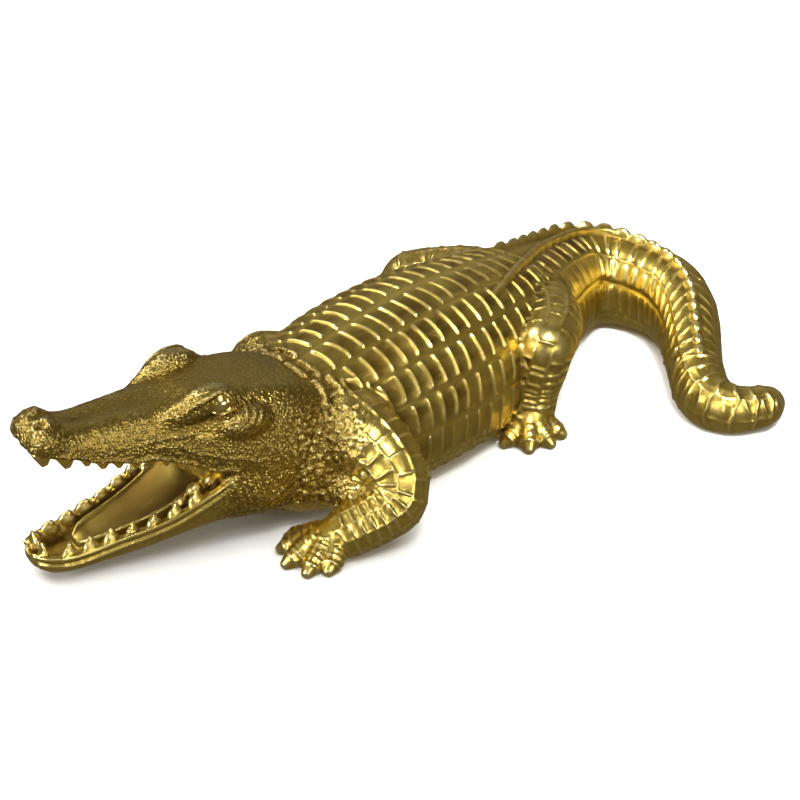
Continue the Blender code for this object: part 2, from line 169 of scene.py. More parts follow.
def bodyPlace(points):
    # distance along the spine, angle and how far out a point lies (1 on the plain surface)
    marks = np.arange(0.0, spineLength, 4.0)
    markSpots = readTable(spineRows, marks)[:, :2]
    s = np.empty(len(points))
    for first in range(0, len(points), 40000):
        part = slice(first, first + 40000)
        gaps = ((points[part, None, :2] - markSpots[None]) ** 2).sum(-1)
        s[part] = marks[gaps.argmin(1)]
    for _ in range(3):
        spot, along, side = bodyFrame(s)
        s = np.clip(s + 0.9 * ((points[:, :2] - spot[:, :2]) * along).sum(-1), 0, spineLength)
    spot, along, side = bodyFrame(s)
    under, back, half, middle = bodySection(spot, s)
    across = ((points[:, :2] - spot[:, :2]) * side).sum(-1) / half
    high = points[:, 2] - middle
    squareness = np.where(high > 0, *backSettings["squareness"])
    high = high / np.where(high > 0, back - middle, middle - under)
    angle = np.arctan2(keepSign(across, squareness / 2), keepSign(high, squareness / 2))
    out = (np.abs(across) ** squareness + np.abs(high) ** squareness) ** (1 / squareness)
    return s, angle, out


# Head: forward along the snout from the nape, across to the animal's right, height

headSettings = {
    "nape": (-78.0, -3.0),
    "turn": math.radians(15),
    "rim": 3.6,
    "mouthDepth": 4.2,
    "eye": (34.6, 21.7, 70.5),
    "eyeRadius": 4.8,
    "nostril": (105.5, 6.6, 71.6),
}
brow = [
    # forward, across, height, thickness
    (60, 13.6, 64.5, 3.2), (53, 15.4, 66.4, 4.6), (46, 16.8, 68.9, 5.9), (40, 17.4, 71.1, 6.5),
    (34.5, 17.6, 71.4, 6.4), (30, 17.7, 69.6, 5.4), (26.5, 17.8, 66.8, 4.2),
]
skull = [
    # forward, half width, top, lip
    (-22, 21, 60, 30), (-8, 26, 65, 30), (2, 29, 69.5, 32), (14, 30.2, 72, 34),
    (26, 29.5, 72.5, 38), (34, 28, 72.5, 40), (42, 25.5, 72, 42), (50, 23.5, 70.5, 46),
    (60, 21, 69.5, 49.5), (72, 18.5, 69, 51), (83, 16.5, 68.5, 53), (91, 15, 68.5, 55.5),
    (97, 14.6, 70, 58), (102, 14.4, 72, 59.5), (107, 13, 72, 61), (111, 10.2, 70.5, 62.5),
    (113.6, 5.5, 67.5, 64.5),
]
jaw = [
    # forward, half width, underside, lip, depth of the mouth floor as a share
    (-10, 24, 14, 36, 0), (6, 29, 12, 41, 0), (18, 30, 12, 41, 0), (27, 29, 12.6, 39, 0),
    (34, 28, 13.4, 36.2, 0.5), (43, 26.5, 13.4, 31.6, 1), (50, 24.8, 12.4, 27.6, 1),
    (58, 22.6, 10.6, 23.4, 1), (68, 20, 8.4, 20, 1), (78, 17.4, 6.6, 17.4, 1), (88, 15.4, 5.2, 14.8, 1),
    (98, 13.8, 4.2, 13, 1), (105, 12, 4.2, 12.8, 1), (110, 8.8, 5.6, 13.2, 0.8), (113.5, 4.6, 8, 13.4, 0.3),
]
tongue = [
    # forward, half width, top
    (24, 18, 41), (35, 18, 39.5), (43, 17.5, 33), (52, 16, 27), (64, 13.4, 21.4), (76, 10.5, 17.6),
    (88, 7.4, 14.4), (93, 3, 11.6),
]
snoutWay = np.array((-math.cos(headSettings["turn"]), math.sin(headSettings["turn"])))
rightWay = np.array((math.sin(headSettings["turn"]), math.cos(headSettings["turn"])))


def headPoint(ahead, across, height):
    ahead, across, height = np.broadcast_arrays(*(np.asarray(v, float) for v in (ahead, across, height)))
    flat = np.array(headSettings["nape"]) + ahead[..., None] * snoutWay + across[..., None] * rightWay
    return np.concatenate([flat, height[..., None]], -1)


def headPlace(points):
    flat = points[:, :2] - np.array(headSettings["nape"])
    return flat @ snoutWay, flat @ rightWay, points[:, 2]


def eyeMiddle(way):
    ahead, across, height = headSettings["eye"]
    return headPoint(ahead, way * across, height)


def roundOff(corners, count):
    # smooth closed sections through their corners
    n = corners.shape[1]
    u = np.arange(count) * n / count
    k = u.astype(int)
    t = (u - k)[None, :, None]
    p0, p1, p2, p3 = (corners[:, (k + i) % n] for i in (-1, 0, 1, 2))
    return 0.5 * (2 * p1 + (p2 - p0) * t + (2 * p0 - 5 * p1 + 4 * p2 - p3) * t**2
                  + (3 * p1 - p0 - 3 * p2 + p3) * t**3)


def bothSides(half):
    # list of (across, height) columns on one side, first and last on the middle plane
    corners = np.stack([np.stack(np.broadcast_arrays(a, h), -1) for a, h in half], 1)
    other = corners[:, -2:0:-1] * (-1, 1)
    return np.concatenate([corners, other], 1)


def skullRings():
    ahead = np.linspace(-22, 113.6, 114)
    half, top, lip = readTable(skull, ahead).T
    tall = top - lip
    palate = np.where(ahead > 40, np.minimum(3.2, 0.3 * tall), 0.0) * ease(ahead, 38, 46)
    inner = np.maximum(half * 0.93 - headSettings["rim"], half * 0.45)
    dish = 0.9 * ease(ahead, 46, 62) * (1 - ease(ahead, 86, 98))      # the snout's top sinks a little
    corners = bothSides([
        (0 * half, top - dish), (0.34 * half, top - 0.01 * tall), (0.60 * half, top - 0.05 * tall),
        (0.80 * half, top - 0.20 * tall), (0.94 * half, top - 0.48 * tall),
        (half, top - 0.80 * tall), (0.95 * half, lip), (inner, lip + 0.2),
        (inner * 0.7, lip + palate), (0 * half, lip + palate * 1.2)])
    section = roundOff(corners, 84)
    return headPoint(ahead[:, None], section[..., 0], section[..., 1])


def jawRings():
    ahead = np.linspace(-10, 113.5, 106)
    half, under, lip, depth = readTable(jaw, ahead).T
    tall = lip - under
    inner = np.maximum(half - headSettings["rim"], half * 0.5)
    floorEdge = np.maximum(inner - 1.6, half * 0.3)
    deep = headSettings["mouthDepth"] * np.clip(depth, 0, 1)
    corners = bothSides([
        (0 * half, under), (0.55 * half, under), (0.86 * half, under + 0.16 * tall),
        (half, under + 0.52 * tall), (half - 0.5, lip), (inner, lip),
        (floorEdge, lip - deep), (0 * half, lip - deep)])
    section = roundOff(corners, 84)
    return headPoint(ahead[:, None], section[..., 0], section[..., 1])


def tongueRings():
    ahead = np.linspace(24, 93, 60)
    half, top = readTable(tongue, ahead).T
    hollow = 1.3 * ease(ahead, 30, 50) * (1 - ease(ahead, 86, 92))
    corners = bothSides([
        (0 * half, top - hollow), (0.62 * half, top - 0.6 * hollow), (0.90 * half, top - 0.1),
        (half, top - 1.6), (0.95 * half, top - 7), (0 * half, top - 7)])
    section = roundOff(corners, 60)
    return headPoint(ahead[:, None], section[..., 0], section[..., 1])


# Limbs: x, y, z and radius along the bones, knuckle and tip of each toe

limbs = {
    "leftArm": [
        [(-52, -12, 39, 15), (-59, -32, 41, 17.5), (-58, -47, 35, 15.5), (-58.5, -58, 27, 13.5)],
        [(-58, -56, 28, 13.5), (-63, -61, 20.5, 12.3), (-71, -59, 16, 11), (-82, -53, 11, 10.5),
         (-90, -47, 6.5, 9)],
        [(-58, -22, 24, 14), (-64, -36, 20, 15), (-67, -49, 17, 12)],
    ],
    "rightArm": [
        [(-52, 16, 39, 15), (-46, 36, 39, 17), (-36, 52, 30, 14.5), (-32, 60, 23, 12.5)],
        [(-32, 54, 27, 13), (-38, 66, 19, 11.5), (-48, 74, 12, 10), (-57, 78, 8.5, 10),
         (-65, 80, 6, 9)],
        [(-50, 24, 24, 14), (-44, 40, 20, 15), (-42, 54, 17, 12)],
    ],
    "leftLeg": [
        [(86, 0, 36, 17), (76, -18, 40, 17), (62, -34, 43.5, 13.5), (53, -40, 43.5, 12.5)],
        [(52, -40, 43, 12.6), (50.5, -39, 33, 12), (49, -37, 22, 11), (46, -38, 12, 10.5),
         (41, -41, 6.5, 9)],
    ],
    "rightLeg": [
        [(88, 14, 36, 17), (85, 38, 37, 17), (78, 56, 36, 14), (70, 64, 35, 13)],
        [(70, 63, 35, 13), (67, 68, 26, 12), (66, 72, 17, 11), (63, 76, 10, 10.5),
         (59, 80, 6, 9)],
    ],
}
toes = {
    "leftArm": [(-91, -37, -95, -27.5), (-97, -38.5, -103.5, -32), (-100, -44, -110, -42.5),
                (-98, -51, -108.5, -54), (-93, -55.5, -101.5, -59.5)],
    "rightArm": [(-62, 71, -69, 64), (-69, 75, -80, 71), (-71, 81, -84, 83), (-68, 86, -77, 92),
                 (-60, 88, -64, 96)],
    "leftLeg": [(38, -33, 28.5, -26.5), (35, -40, 26, -39), (36, -46, 30.5, -51.5),
                (42, -48, 41.5, -55.5), (49, -46, 52, -53.5)],
    "rightLeg": [(53, 73, 44, 68), (50, 79, 39, 78), (50, 85, 41, 90), (55, 90, 50, 99),
                 (63, 88, 66, 97)],
}
toeSettings = {
    "radius": 4.4,
    "arch": [(11.8, 0.8), (9.4, 0.92), (6.0, 1), (3.8, 0.92), (1.9, 0.5)],     # height, share of the radius
    "smoothTip": 3.6,
    "ringPitch": 2.7,
    "ringDepth": 0.12,
    "bar": 0.7,
    "barReach": 105,                      # degrees to each side
    "web": 1.3,
}


def rodFrame(rows, every):
    # points, radii and two cross directions along a bone
    table = byDistance(rows, 3)
    count = max(8, int(table[-1, 0] / every))
    distance = np.linspace(0, table[-1, 0], count)
    data = readTable(table, distance)
    along = np.gradient(data[:, :3], axis=0)
    along /= np.linalg.norm(along, axis=1, keepdims=True)
    upright = np.array((0, 0, 1.0)) if abs(along[0, 2]) < 0.8 else np.array((-1.0, 0, 0))
    first = np.empty_like(along)
    held = upright
    for i, way in enumerate(along):
        held = held - way * (way @ held)
        held = held / np.linalg.norm(held)
        first[i] = held
    second = np.cross(along, first)
    return distance, data[:, :3], data[:, 3], along, first, second


def around(first, second, turns):
    turns = np.asarray(turns)[..., None]
    return first * np.cos(turns) + second * np.sin(turns)


def rodRings(rows, sides=24, every=1.2, shape=None):
    distance, centre, radius, along, first, second = rodFrame(rows, every)
    if shape is not None:
        radius = radius * shape(distance, distance[-1])
    ring = around(first[:, None], second[:, None], np.arange(sides) * 2 * math.pi / sides)
    rings = list(centre[:, None] + ring * radius[:, None, None])
    for turn in (0.45, 0.85, 1.2, 1.45):      # the rounded ends, half as long as they are wide
        ahead, close = 0.5 * math.sin(turn), math.cos(turn)
        rings.insert(0, centre[0] - along[0] * radius[0] * ahead + ring[0] * radius[0] * close)
        rings.append(centre[-1] + along[-1] * radius[-1] * ahead + ring[-1] * radius[-1] * close)
    return rings


def toePath(foot, i):
    # from the back of the hand over the knuckle to the tip
    hand, heel = (np.array(limbs[foot][1][k][:2], float) for k in (-1, -2))
    knuckle, tip = np.array(toes[foot][i], float).reshape(2, 2)
    start = hand * 0.6 + heel * 0.15 + knuckle * 0.25
    spots = [start, start * 0.5 + knuckle * 0.5, knuckle, knuckle + (tip - knuckle) * 0.55, tip]
    return [(*spot, height, toeSettings["radius"] * share)
            for spot, (height, share) in zip(spots, toeSettings["arch"])]


def ringed(distance, length):
    # toe segments bulge between their rings, the tip is smooth
    left = length - toeSettings["smoothTip"] - distance
    wave = np.abs(np.sin(math.pi * left / toeSettings["ringPitch"]))
    on = (left > 0) * ease(distance, 2, 5)
    return 1 + toeSettings["ringDepth"] * on * (wave ** 0.6 - 0.7)


# Mesh helpers. Meshes are made in metres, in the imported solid's own place.

def toMetres(points):
    points = np.asarray(points, float).copy()
    points[..., 0] += castSettings["middle"][0]
    points[..., 1] += castSettings["middle"][1]
    return points * 0.001


def addObject(name, mesh):
    obj = bpy.data.objects.new(name, mesh)
    bpy.context.scene.collection.objects.link(obj)
    return obj


def skin(name, rings):
    # closed skin over rings with the same number of points
    rings = toMetres(rings)
    rows, cols = rings.shape[:2]
    faces = [tuple(reversed(range(cols))), tuple(range((rows - 1) * cols, rows * cols))]
    for i in range(rows - 1):
        for j in range(cols):
            k = (j + 1) % cols
            faces.append((i * cols + j, i * cols + k, (i + 1) * cols + k, (i + 1) * cols + j))
    bm = bmesh.new()
    mesh = bpy.data.meshes.new(name)
    mesh.from_pydata(rings.reshape(-1, 3).tolist(), [], faces)
    bm.from_mesh(mesh)
    bmesh.ops.recalc_face_normals(bm, faces=bm.faces)
    bm.to_mesh(mesh)
    bm.free()
    return addObject(name, mesh)


def ball(name, centre, radii, turn=0.0):
    bm = bmesh.new()
    bmesh.ops.create_uvsphere(bm, u_segments=32, v_segments=20, radius=1.0)
    size = Matrix.Diagonal((*(r * 0.001 for r in radii), 1.0))
    bm.transform(Matrix.Translation(toMetres(centre)) @ Matrix.Rotation(turn, 4, "Z") @ size)
    mesh = bpy.data.meshes.new(name)
    bm.to_mesh(mesh)
    bm.free()
    return addObject(name, mesh)


def settle(obj, *modifiers):
    # plain mesh of an object with its modifiers worked in
    for kind, values in modifiers:
        modifier = obj.modifiers.new(kind.title(), kind)
        for key, value in values.items():
            setattr(modifier, key, value)
    bpy.context.view_layer.update()
    graph = bpy.context.evaluated_depsgraph_get()
    mesh = bpy.data.meshes.new_from_object(obj.evaluated_get(graph))
    obj.modifiers.clear()
    old = obj.data
    obj.data = mesh
    if old.users == 0:
        bpy.data.meshes.remove(old)
    return obj


def joinAll(name, objects):
    verts, faces, count = [], [], 0
    for obj in objects:
        mesh = obj.data
        verts += [v.co[:] for v in mesh.vertices]
        faces += [tuple(i + count for i in p.vertices) for p in mesh.polygons]
        count += len(mesh.vertices)
        bpy.data.objects.remove(obj)
        bpy.data.meshes.remove(mesh)
    mesh = bpy.data.meshes.new(name)
    mesh.from_pydata(verts, [], faces)
    return addObject(name, mesh)


def readPoints(mesh):
    co = np.empty(len(mesh.vertices) * 3, np.float32)
    mesh.vertices.foreach_get("co", co)
    points = co.reshape(-1, 3).astype(float) * 1000
    points[:, 0] -= castSettings["middle"][0]
    points[:, 1] -= castSettings["middle"][1]
    return points


def readNormals(mesh):
    normals = np.empty(len(mesh.vertices) * 3, np.float32)
    mesh.vertex_normals.foreach_get("vector", normals)
    return normals.reshape(-1, 3).astype(float)


def writePoints(mesh, points):
    mesh.vertices.foreach_set("co", toMetres(points).astype(np.float32).ravel())
    mesh.update()


# The first pass: the big forms

def bodyForm():
    tip, sides = backSettings["tipRounding"], backSettings["sides"]
    s = np.concatenate([np.arange(backSettings["bodyBegins"], spineLength - tip, 1.5),
                        np.arange(spineLength - tip, spineLength, 0.5)])
    angle = np.arange(sides) * 2 * math.pi / sides
    rings = bodyPoint(s[:, None], angle[None])
    centre = rings.mean(1, keepdims=True)
    close = np.sqrt(1 - (np.clip(s - spineLength + tip, 0, tip) / (tip + 1.0)) ** 2)
    rings = centre + (rings - centre) * close[:, None, None]
    along = bodyFrame(np.array(spineLength))[1]
    last = centre[-1] + (rings[-1] - centre[-1]) * 0.45 + np.append(along, 0) * 1.3
    return skin("bodyForm", np.concatenate([rings, last[None]]))


palmSettings = {"height": 4.4, "radii": (10.5, 10.5, 6.8)}


def limbForms(name):
    forms = [skin(name + "Bone%d" % i, rodRings(bone)) for i, bone in enumerate(limbs[name])]
    joint, foot = limbs[name][1][0], limbs[name][1][-1]
    forms.append(ball(name + "Joint", joint[:3], (joint[3] * 1.03,) * 3))
    forms.append(ball(name + "Palm", (*foot[:2], palmSettings["height"]), palmSettings["radii"]))
    return forms


def toeForms(name):
    paths = [toePath(name, i) for i in range(len(toes[name]))]
    forms = [skin(name + "Toe%d" % i, rodRings(path, 20, 0.4, ringed)) for i, path in enumerate(paths)]
    share = np.linspace(0, 1, 7)
    for a, b in zip(paths, paths[1:]):
        web = []
        for t in np.linspace(0, 1, 8):
            p, q = (np.array(path[1][:3]) * (1 - t) + np.array(path[3][:3]) * t for path in (a, b))
            top = p + (q - p) * share[:, None]
            top[:, 2] = top[:, 2] * 0.55 + 0.9 - 0.8 * np.sin(math.pi * share)      # sags between the toes
            web.append(np.concatenate([top, top[::-1] - (0, 0, toeSettings["web"] + 0.8)]))
        forms.append(skin(name + "Web", web))
    return forms


mouthBack = {
    # folded skin where the jaws meet
    "middle": (34, 0, 39.5),
    "radii": (13, 26, 10.5),
    "folds": 13,
}
headMounds = {
    # forward, across, height and the three radii
    "cheek": (25, 24.8, 60.5, 11, 5.6, 7.0),
    "nostrilMound": (103.5, 5.4, 70.5, 5.2, 4.3, 3.5),
    "snoutSide": (104, 8.5, 65.5, 8.5, 6.0, 6.2),
}
neckSettings = {"middle": (-72, 2, 38), "radii": (17, 48, 40), "steps": (0.25, 0.5, 0.75, 1.0)}


def browForm(way):
    return skin("browForm", rodRings([(*headPoint(ahead, way * across, height - 0.4), thick)
                                      for ahead, across, height, thick in brow]))


print("big forms")
faceTurn = math.pi - headSettings["turn"]
forms = [bodyForm(), skin("skull", skullRings()), skin("lowerJaw", jawRings())]
for way in (-1, 1):
    forms.append(browForm(way))
    for name, (ahead, across, height, *radii) in headMounds.items():
        forms.append(ball(name, headPoint(ahead, way * across, height), radii, faceTurn))
for limb in limbs:
    forms += limbForms(limb)
forms.append(ball("mouthBack", headPoint(*mouthBack["middle"]), mouthBack["radii"], faceTurn))
base = joinAll("base", forms)
settle(base, ("REMESH", {"mode": "VOXEL", "voxel_size": castSettings["formVoxel"] * 0.001}),
       ("SMOOTH", {"factor": 0.5, "iterations": castSettings["formSmoothing"]}))
neck = base.vertex_groups.new(name="neck")
spots = readPoints(base.data)
near = np.linalg.norm((spots - neckSettings["middle"]) / neckSettings["radii"], axis=1)
for weight in neckSettings["steps"]:
    chosen = np.nonzero((near < 1.3 - 0.3 * weight) & (spots[:, 2] > 4))[0]
    neck.add(chosen.tolist(), weight, "REPLACE")
settle(base, ("SMOOTH", {"factor": 0.5, "iterations": castSettings["neckSmoothing"],
                         "vertex_group": "neck"}))
base.data.update()
surface = BVHTree.FromObject(base, bpy.context.evaluated_depsgraph_get())
basePoints = readPoints(base.data)
baseNormals = readNormals(base.data)


# Raised lines are laid on the first pass like threads of wax

lines = []        # each: points in millimetres and the half width at each


def keepRun(run):
    # a laid stretch is evened out before it is kept
    if len(run) < 3:
        return
    places = np.array([place for place, _ in run])
    for _ in range(3):
        places[1:-1] = 0.25 * places[:-2] + 0.5 * places[1:-1] + 0.25 * places[2:]
    lines.append([(place, width) for place, (_, width) in zip(places, run)])


def layLine(points, width, lift=0.15, reach=3.5):
    # drops the line onto the surface; parts that are buried or off it are left out
    widths = np.broadcast_to(np.asarray(width, float), (len(points),))
    run = []
    for i, p in enumerate(toMetres(points)):
        spot, normal = surface.find_nearest(Vector(p), reach * 0.001)[:2]
        if spot is None:
            keepRun(run)
            run = []
            continue
        place = np.array(spot) * 1000 + np.array(normal) * lift
        place[:2] -= castSettings["middle"]
        run.append((place, widths[i]))
    keepRun(run)


def addLine(points, widths):
    # a line that keeps its own place
    lines.append(list(zip(points, np.broadcast_to(widths, (len(points),)))))


def taper(v, blunt=0.25, least=0.5):
    # 1 in the middle of a line, less at its ends, for v from 0 to 1
    return least + (1 - least) * ease(np.minimum(v, 1 - v), 0, blunt)


plateSettings = {
    "rows": (-2, rowCount),               # two of them on the neck
    "columns": (-6, 6),
    "neckReach": 1.1,                     # radians from the top
    "neckRise": 0.6,                      # thicker, higher and wavier there
    "fade": (0.42, 1.0, 1.75),            # thinner lines down the flank
    "bow": 0.4,
    "tilt": 0.9,
    "hook": -0.7,                         # turned-in ends on some plates
    "hookShare": 0.55,
    "margin": 0.05,
}


def backLines():
    plate = plateSettings
    turn = backSettings["columnTurn"]
    v = np.linspace(0, 1, 12)
    swing = 2 * v - 1
    thin, thinFrom, thinTo = plate["fade"]
    for row in range(*plate["rows"]):
        onNeck = row < 0
        for column in range(*plate["columns"]):
            seed = row * 31 + column
            middle = abs(column + 0.5) * turn
            if onNeck and middle > plate["neckReach"]:
                continue
            fade = 1 - thin * ease(middle, thinFrom, thinTo) + plate["neckRise"] * onNeck
            shift = backSettings["stagger"] * (1 if column % 2 == 0 else -1) * rowPitch
            if row > rowCount - 2:
                shift *= 0.4
            s = backSettings["scutesBegin"] + (row + 0.87) * rowPitch + shift
            s = s + (shuffle(seed, 1) - 0.5) * 0.7
            bow = plate["bow"] * (1 - swing ** 2) + plate["bow"] * onNeck * np.sin(v * 11 + seed)
            tilt = (shuffle(seed, 2) - 0.5) * plate["tilt"] * swing
            hook = plate["hook"] * ease(np.abs(swing), 0.84, 1.0) * (shuffle(seed, 3) > plate["hookShare"])
            start = plate["margin"] * (1 + shuffle(seed, 4))
            end = 1 - plate["margin"] * (1 + shuffle(seed, 5))
            angle = turn * (column + start + (end - start) * v)
            width = backSettings["barWidth"] * fade * (0.88 + 0.24 * shuffle(seed, 6))
            layLine(bodyPoint(s + bow + tilt + hook, angle), width * taper(v, 0.1, 0.7),
                    lift=0.2 + 0.3 * onNeck)


def tailRows():
    rows = []
    s, end = float(backSettings["hipsAt"]), spineLength - 6
    first, last = backSettings["tailPitch"]
    while s < end:
        step = first + (last - first) * (s - backSettings["hipsAt"]) / (end - backSettings["hipsAt"])
        rows.append((s, step))
        s += step
    return rows


def crestAngle(s):
    return readTable(crestPath, s)[..., 0]


tailSettings = {
    "tierWidths": (0.86, 1.3, 0.6),
    "tierLifts": (0.2, -0.45, 0.05),
    "slant": (1.6, 6.5),                  # of the ribs before the bend, and how much more on it
    "smoothOutside": (262, 285),          # from here on the outside of the bend has faint ribs
    "nearCrest": (144, 282),
    "nearRidges": [(0.15, 2.0), (0.6, 1.6)],      # share of the crest's height, width
    "bandReach": 118,
    "bandWidth": 0.72,
    "halfBands": [(-86, -42), (40, 84)],
    "tipLines": (-90, -38, 34, 88),
}


def tailLines():
    first, second, third = backSettings["tierAngles"]
    crestsEnd = backSettings["crestsEnd"]
    slantLeast, slantMore = tailSettings["slant"]
    v = np.linspace(0, 1, 12)
    for i, (s, step) in enumerate(tailRows()):
        if s > crestsEnd - 4:
            break
        crest = float(crestAngle(np.array(s)))
        tiers = [(crest + 5, first - 2), (first + 3, second - 3), (second + 4, third - 6)]
        for way in (-1, 1):
            plain = float(ease(s, *tailSettings["smoothOutside"])) if way > 0 else 0.0
            slant = slantLeast + slantMore * float(ease(s, 284, 304) * (1 - ease(s, 345, 362)))
            for k, (top, foot) in enumerate(tiers):
                seed = i * 7 + k * 3 + way
                angle = np.radians(top + (foot - top) * v) * way
                place = s + step * 0.88 + slant * (v - 0.5) * (1 if k < 2 else 0.4)
                place = place + (shuffle(seed, 7) - 0.5) * 0.8
                width = tailSettings["tierWidths"][k] * (0.85 + 0.3 * shuffle(seed, 8))
                layLine(bodyPoint(place, angle), width * (1 - 0.45 * plain) * taper(v, 0.2, 0.6),
                        lift=tailSettings["tierLifts"][k])
    # the thin line between the upper tiers, the far crest's foot and the smooth near crest
    s = np.linspace(backSettings["hipsAt"] + 4, crestsEnd, 130)
    for way in (-1, 1):
        layLine(bodyPoint(s, way * math.radians(first)), 0.5 + 0.06 * np.sin(s * 0.7), lift=0.1)
    s = np.linspace(backSettings["crestsBegin"], crestsEnd, 170)
    rise = 0.25 * crestHeight(s) * (1 - ease(s, 340, 376))
    addLine(bodyPoint(s, np.radians(crestAngle(s)), rise - 1.2), 2.1 - 0.7 * ease(s, 320, 376))
    begin, end = tailSettings["nearCrest"]
    s = np.linspace(begin, end, 90)
    rise = ease(s, begin - 2, begin + 16) * (1 - ease(s, end - 14, end))
    for share, width in tailSettings["nearRidges"]:
        addLine(bodyPoint(s, -np.radians(crestAngle(s)), share * crestHeight(s) * rise - 0.3),
                width * (0.6 + 0.4 * rise) + 0.12 * np.sin(s * 0.68))
    # bands round the tip, short pieces between them and lines along it
    s = crestsEnd + 2
    while s < spineLength - 5:
        angle = np.radians(np.linspace(-tailSettings["bandReach"], tailSettings["bandReach"], 64))
        wave = 0.8 * np.sin(angle * 3.1 + s) + 0.35 * np.sin(angle * 8.3 + 2 * s)
        layLine(bodyPoint(s + wave, angle),
                tailSettings["bandWidth"] + 0.2 * np.sin(angle * 5 + s), lift=0.12)
        for low, high in tailSettings["halfBands"]:
            angle = np.radians(np.linspace(low, high, 14))
            layLine(bodyPoint(s + 3.6 + 0.5 * np.sin(angle * 6 + s), angle),
                    0.55 * taper(np.linspace(0, 1, 14)), lift=0.1)
        s += backSettings["tipPitch"]
    s = np.linspace(crestsEnd - 3, spineLength - 8, 40)
    for turn in tailSettings["tipLines"]:
        layLine(bodyPoint(s, np.radians(turn + 3 * np.sin(s * 0.9))), 0.45, lift=0.05)


limbSettings = {
    "columns": 10,
    "pitch": (7.2, 4.1),                  # upper and lower limb
    "alongWidth": 0.55,
    "acrossWidth": 0.7,
    "handLength": 5.5,                    # kept free of these lines
}


def limbLines():
    # fine plates from shoulder or hip to foot: lines along the limb, stepped rings between them
    columns = limbSettings["columns"]
    wide, narrow = limbSettings["pitch"]
    v = np.linspace(0.05, 0.95, 8)
    for bones in limbs.values():
        distance, centre, radius, _, first, second = rodFrame(bones[0] + bones[1][1:], 0.8)
        joint = byDistance(bones[0], 3)[-1, 0]
        end = distance[-1] - limbSettings["handLength"]
        for column in range(columns):
            ring = around(first, second, 2 * math.pi * column / columns)
            layLine((centre + ring * radius[:, None])[distance < end], limbSettings["alongWidth"],
                    lift=0.12, reach=5)
            at = 2.0 + 2.5 * (column % 2)
            while at < end:
                i = int(round(at / distance[-1] * (len(distance) - 1)))
                ring = around(first[i], second[i], 2 * math.pi * (column + v) / columns)
                thick = limbSettings["acrossWidth"] * (0.85 + 0.3 * shuffle(column * 5 + i, 12))
                layLine(centre[i] + ring * radius[i], thick * taper(v, 0.2, 0.7), lift=0.15, reach=5)
                pitch = wide + (narrow - wide) * float(ease(at, joint - 8, joint + 6))
                at += pitch * (0.92 + 0.16 * shuffle(column * 7 + i, 13))


lidSettings = {
    "facing": (0.40, 0.80, 0.45),         # the way the eye looks: forward, outwards, up
    "upper": (-5, 190, 50, 0.85),         # from, to, how wide open, thickness
    "lower": (-30, -160, 57, 0.55),
    "ridge": [(0, 50, 20.4, 69.2), (1, 45.6, 21.6, 72), (2, 41, 22.6, 74.2), (3, 36.6, 23.2, 76.2),
              (4, 32.6, 23, 76.4), (5, 29.4, 23.2, 74), (6, 28, 24.2, 70.6)],
    "fold": [(0, 26.4, 19.5, 73.5), (1, 24.6, 23.4, 69.6), (2, 25.6, 26.4, 65), (3, 29.5, 28.4, 61)],
    "folds": 3,
    "foldStep": (-2.5, 0.3, -1.3),
}


def lidPoints(way, start, end, opening, lift):
    # a curve round the eyeball, 0 towards the snout and 90 on top
    facing = np.array(lidSettings["facing"])
    facing = facing / np.linalg.norm(facing)
    up = np.array((0, 0, 1.0)) - facing * facing[2]
    up = up / np.linalg.norm(up)
    forward = np.cross(facing, up)
    forward = forward * np.sign(forward[0])
    turn = np.radians(np.linspace(start, end, 30))[:, None]
    spread = math.radians(opening) + 0.12 * np.abs(np.cos(turn))
    way3 = np.cos(spread) * facing + np.sin(spread) * (np.cos(turn) * forward + np.sin(turn) * up)
    ahead, across, height = (np.array(headSettings["eye"]) + (headSettings["eyeRadius"] + lift) * way3).T
    return headPoint(ahead, way * across, height)


def toeLines():
    # raised bars across the toes
    reach = toeSettings["barReach"]
    for foot in toes:
        for i in range(len(toes[foot])):
            distance, centre, radius, _, first, second = rodFrame(toePath(foot, i), 0.25)
            at = distance[-1] - 3.8
            while at > 3:
                k = int(at / distance[-1] * (len(distance) - 1))
                ring = around(first[k], second[k], np.radians(np.linspace(-reach, reach, 14)))
                addLine(centre[k] + ring * (radius[k] - 0.05), toeSettings["bar"])
                at -= toeSettings["ringPitch"]


lipSettings = {
    # across, height, width and lift of the lower lip's two lines
    "lower": [(-0.3, -0.4, 1.15, 0.3), (0.1, -3.6, 0.8, 0.1)],
    "welt": 1.1,
    "crease": 0.5,
    "wrinkles": 5,                        # at the corner of the mouth, running down to the throat
    "wrinkleWidth": 0.55,
    "tongueEdge": 0.9,
    "mouthFold": 0.8,
}


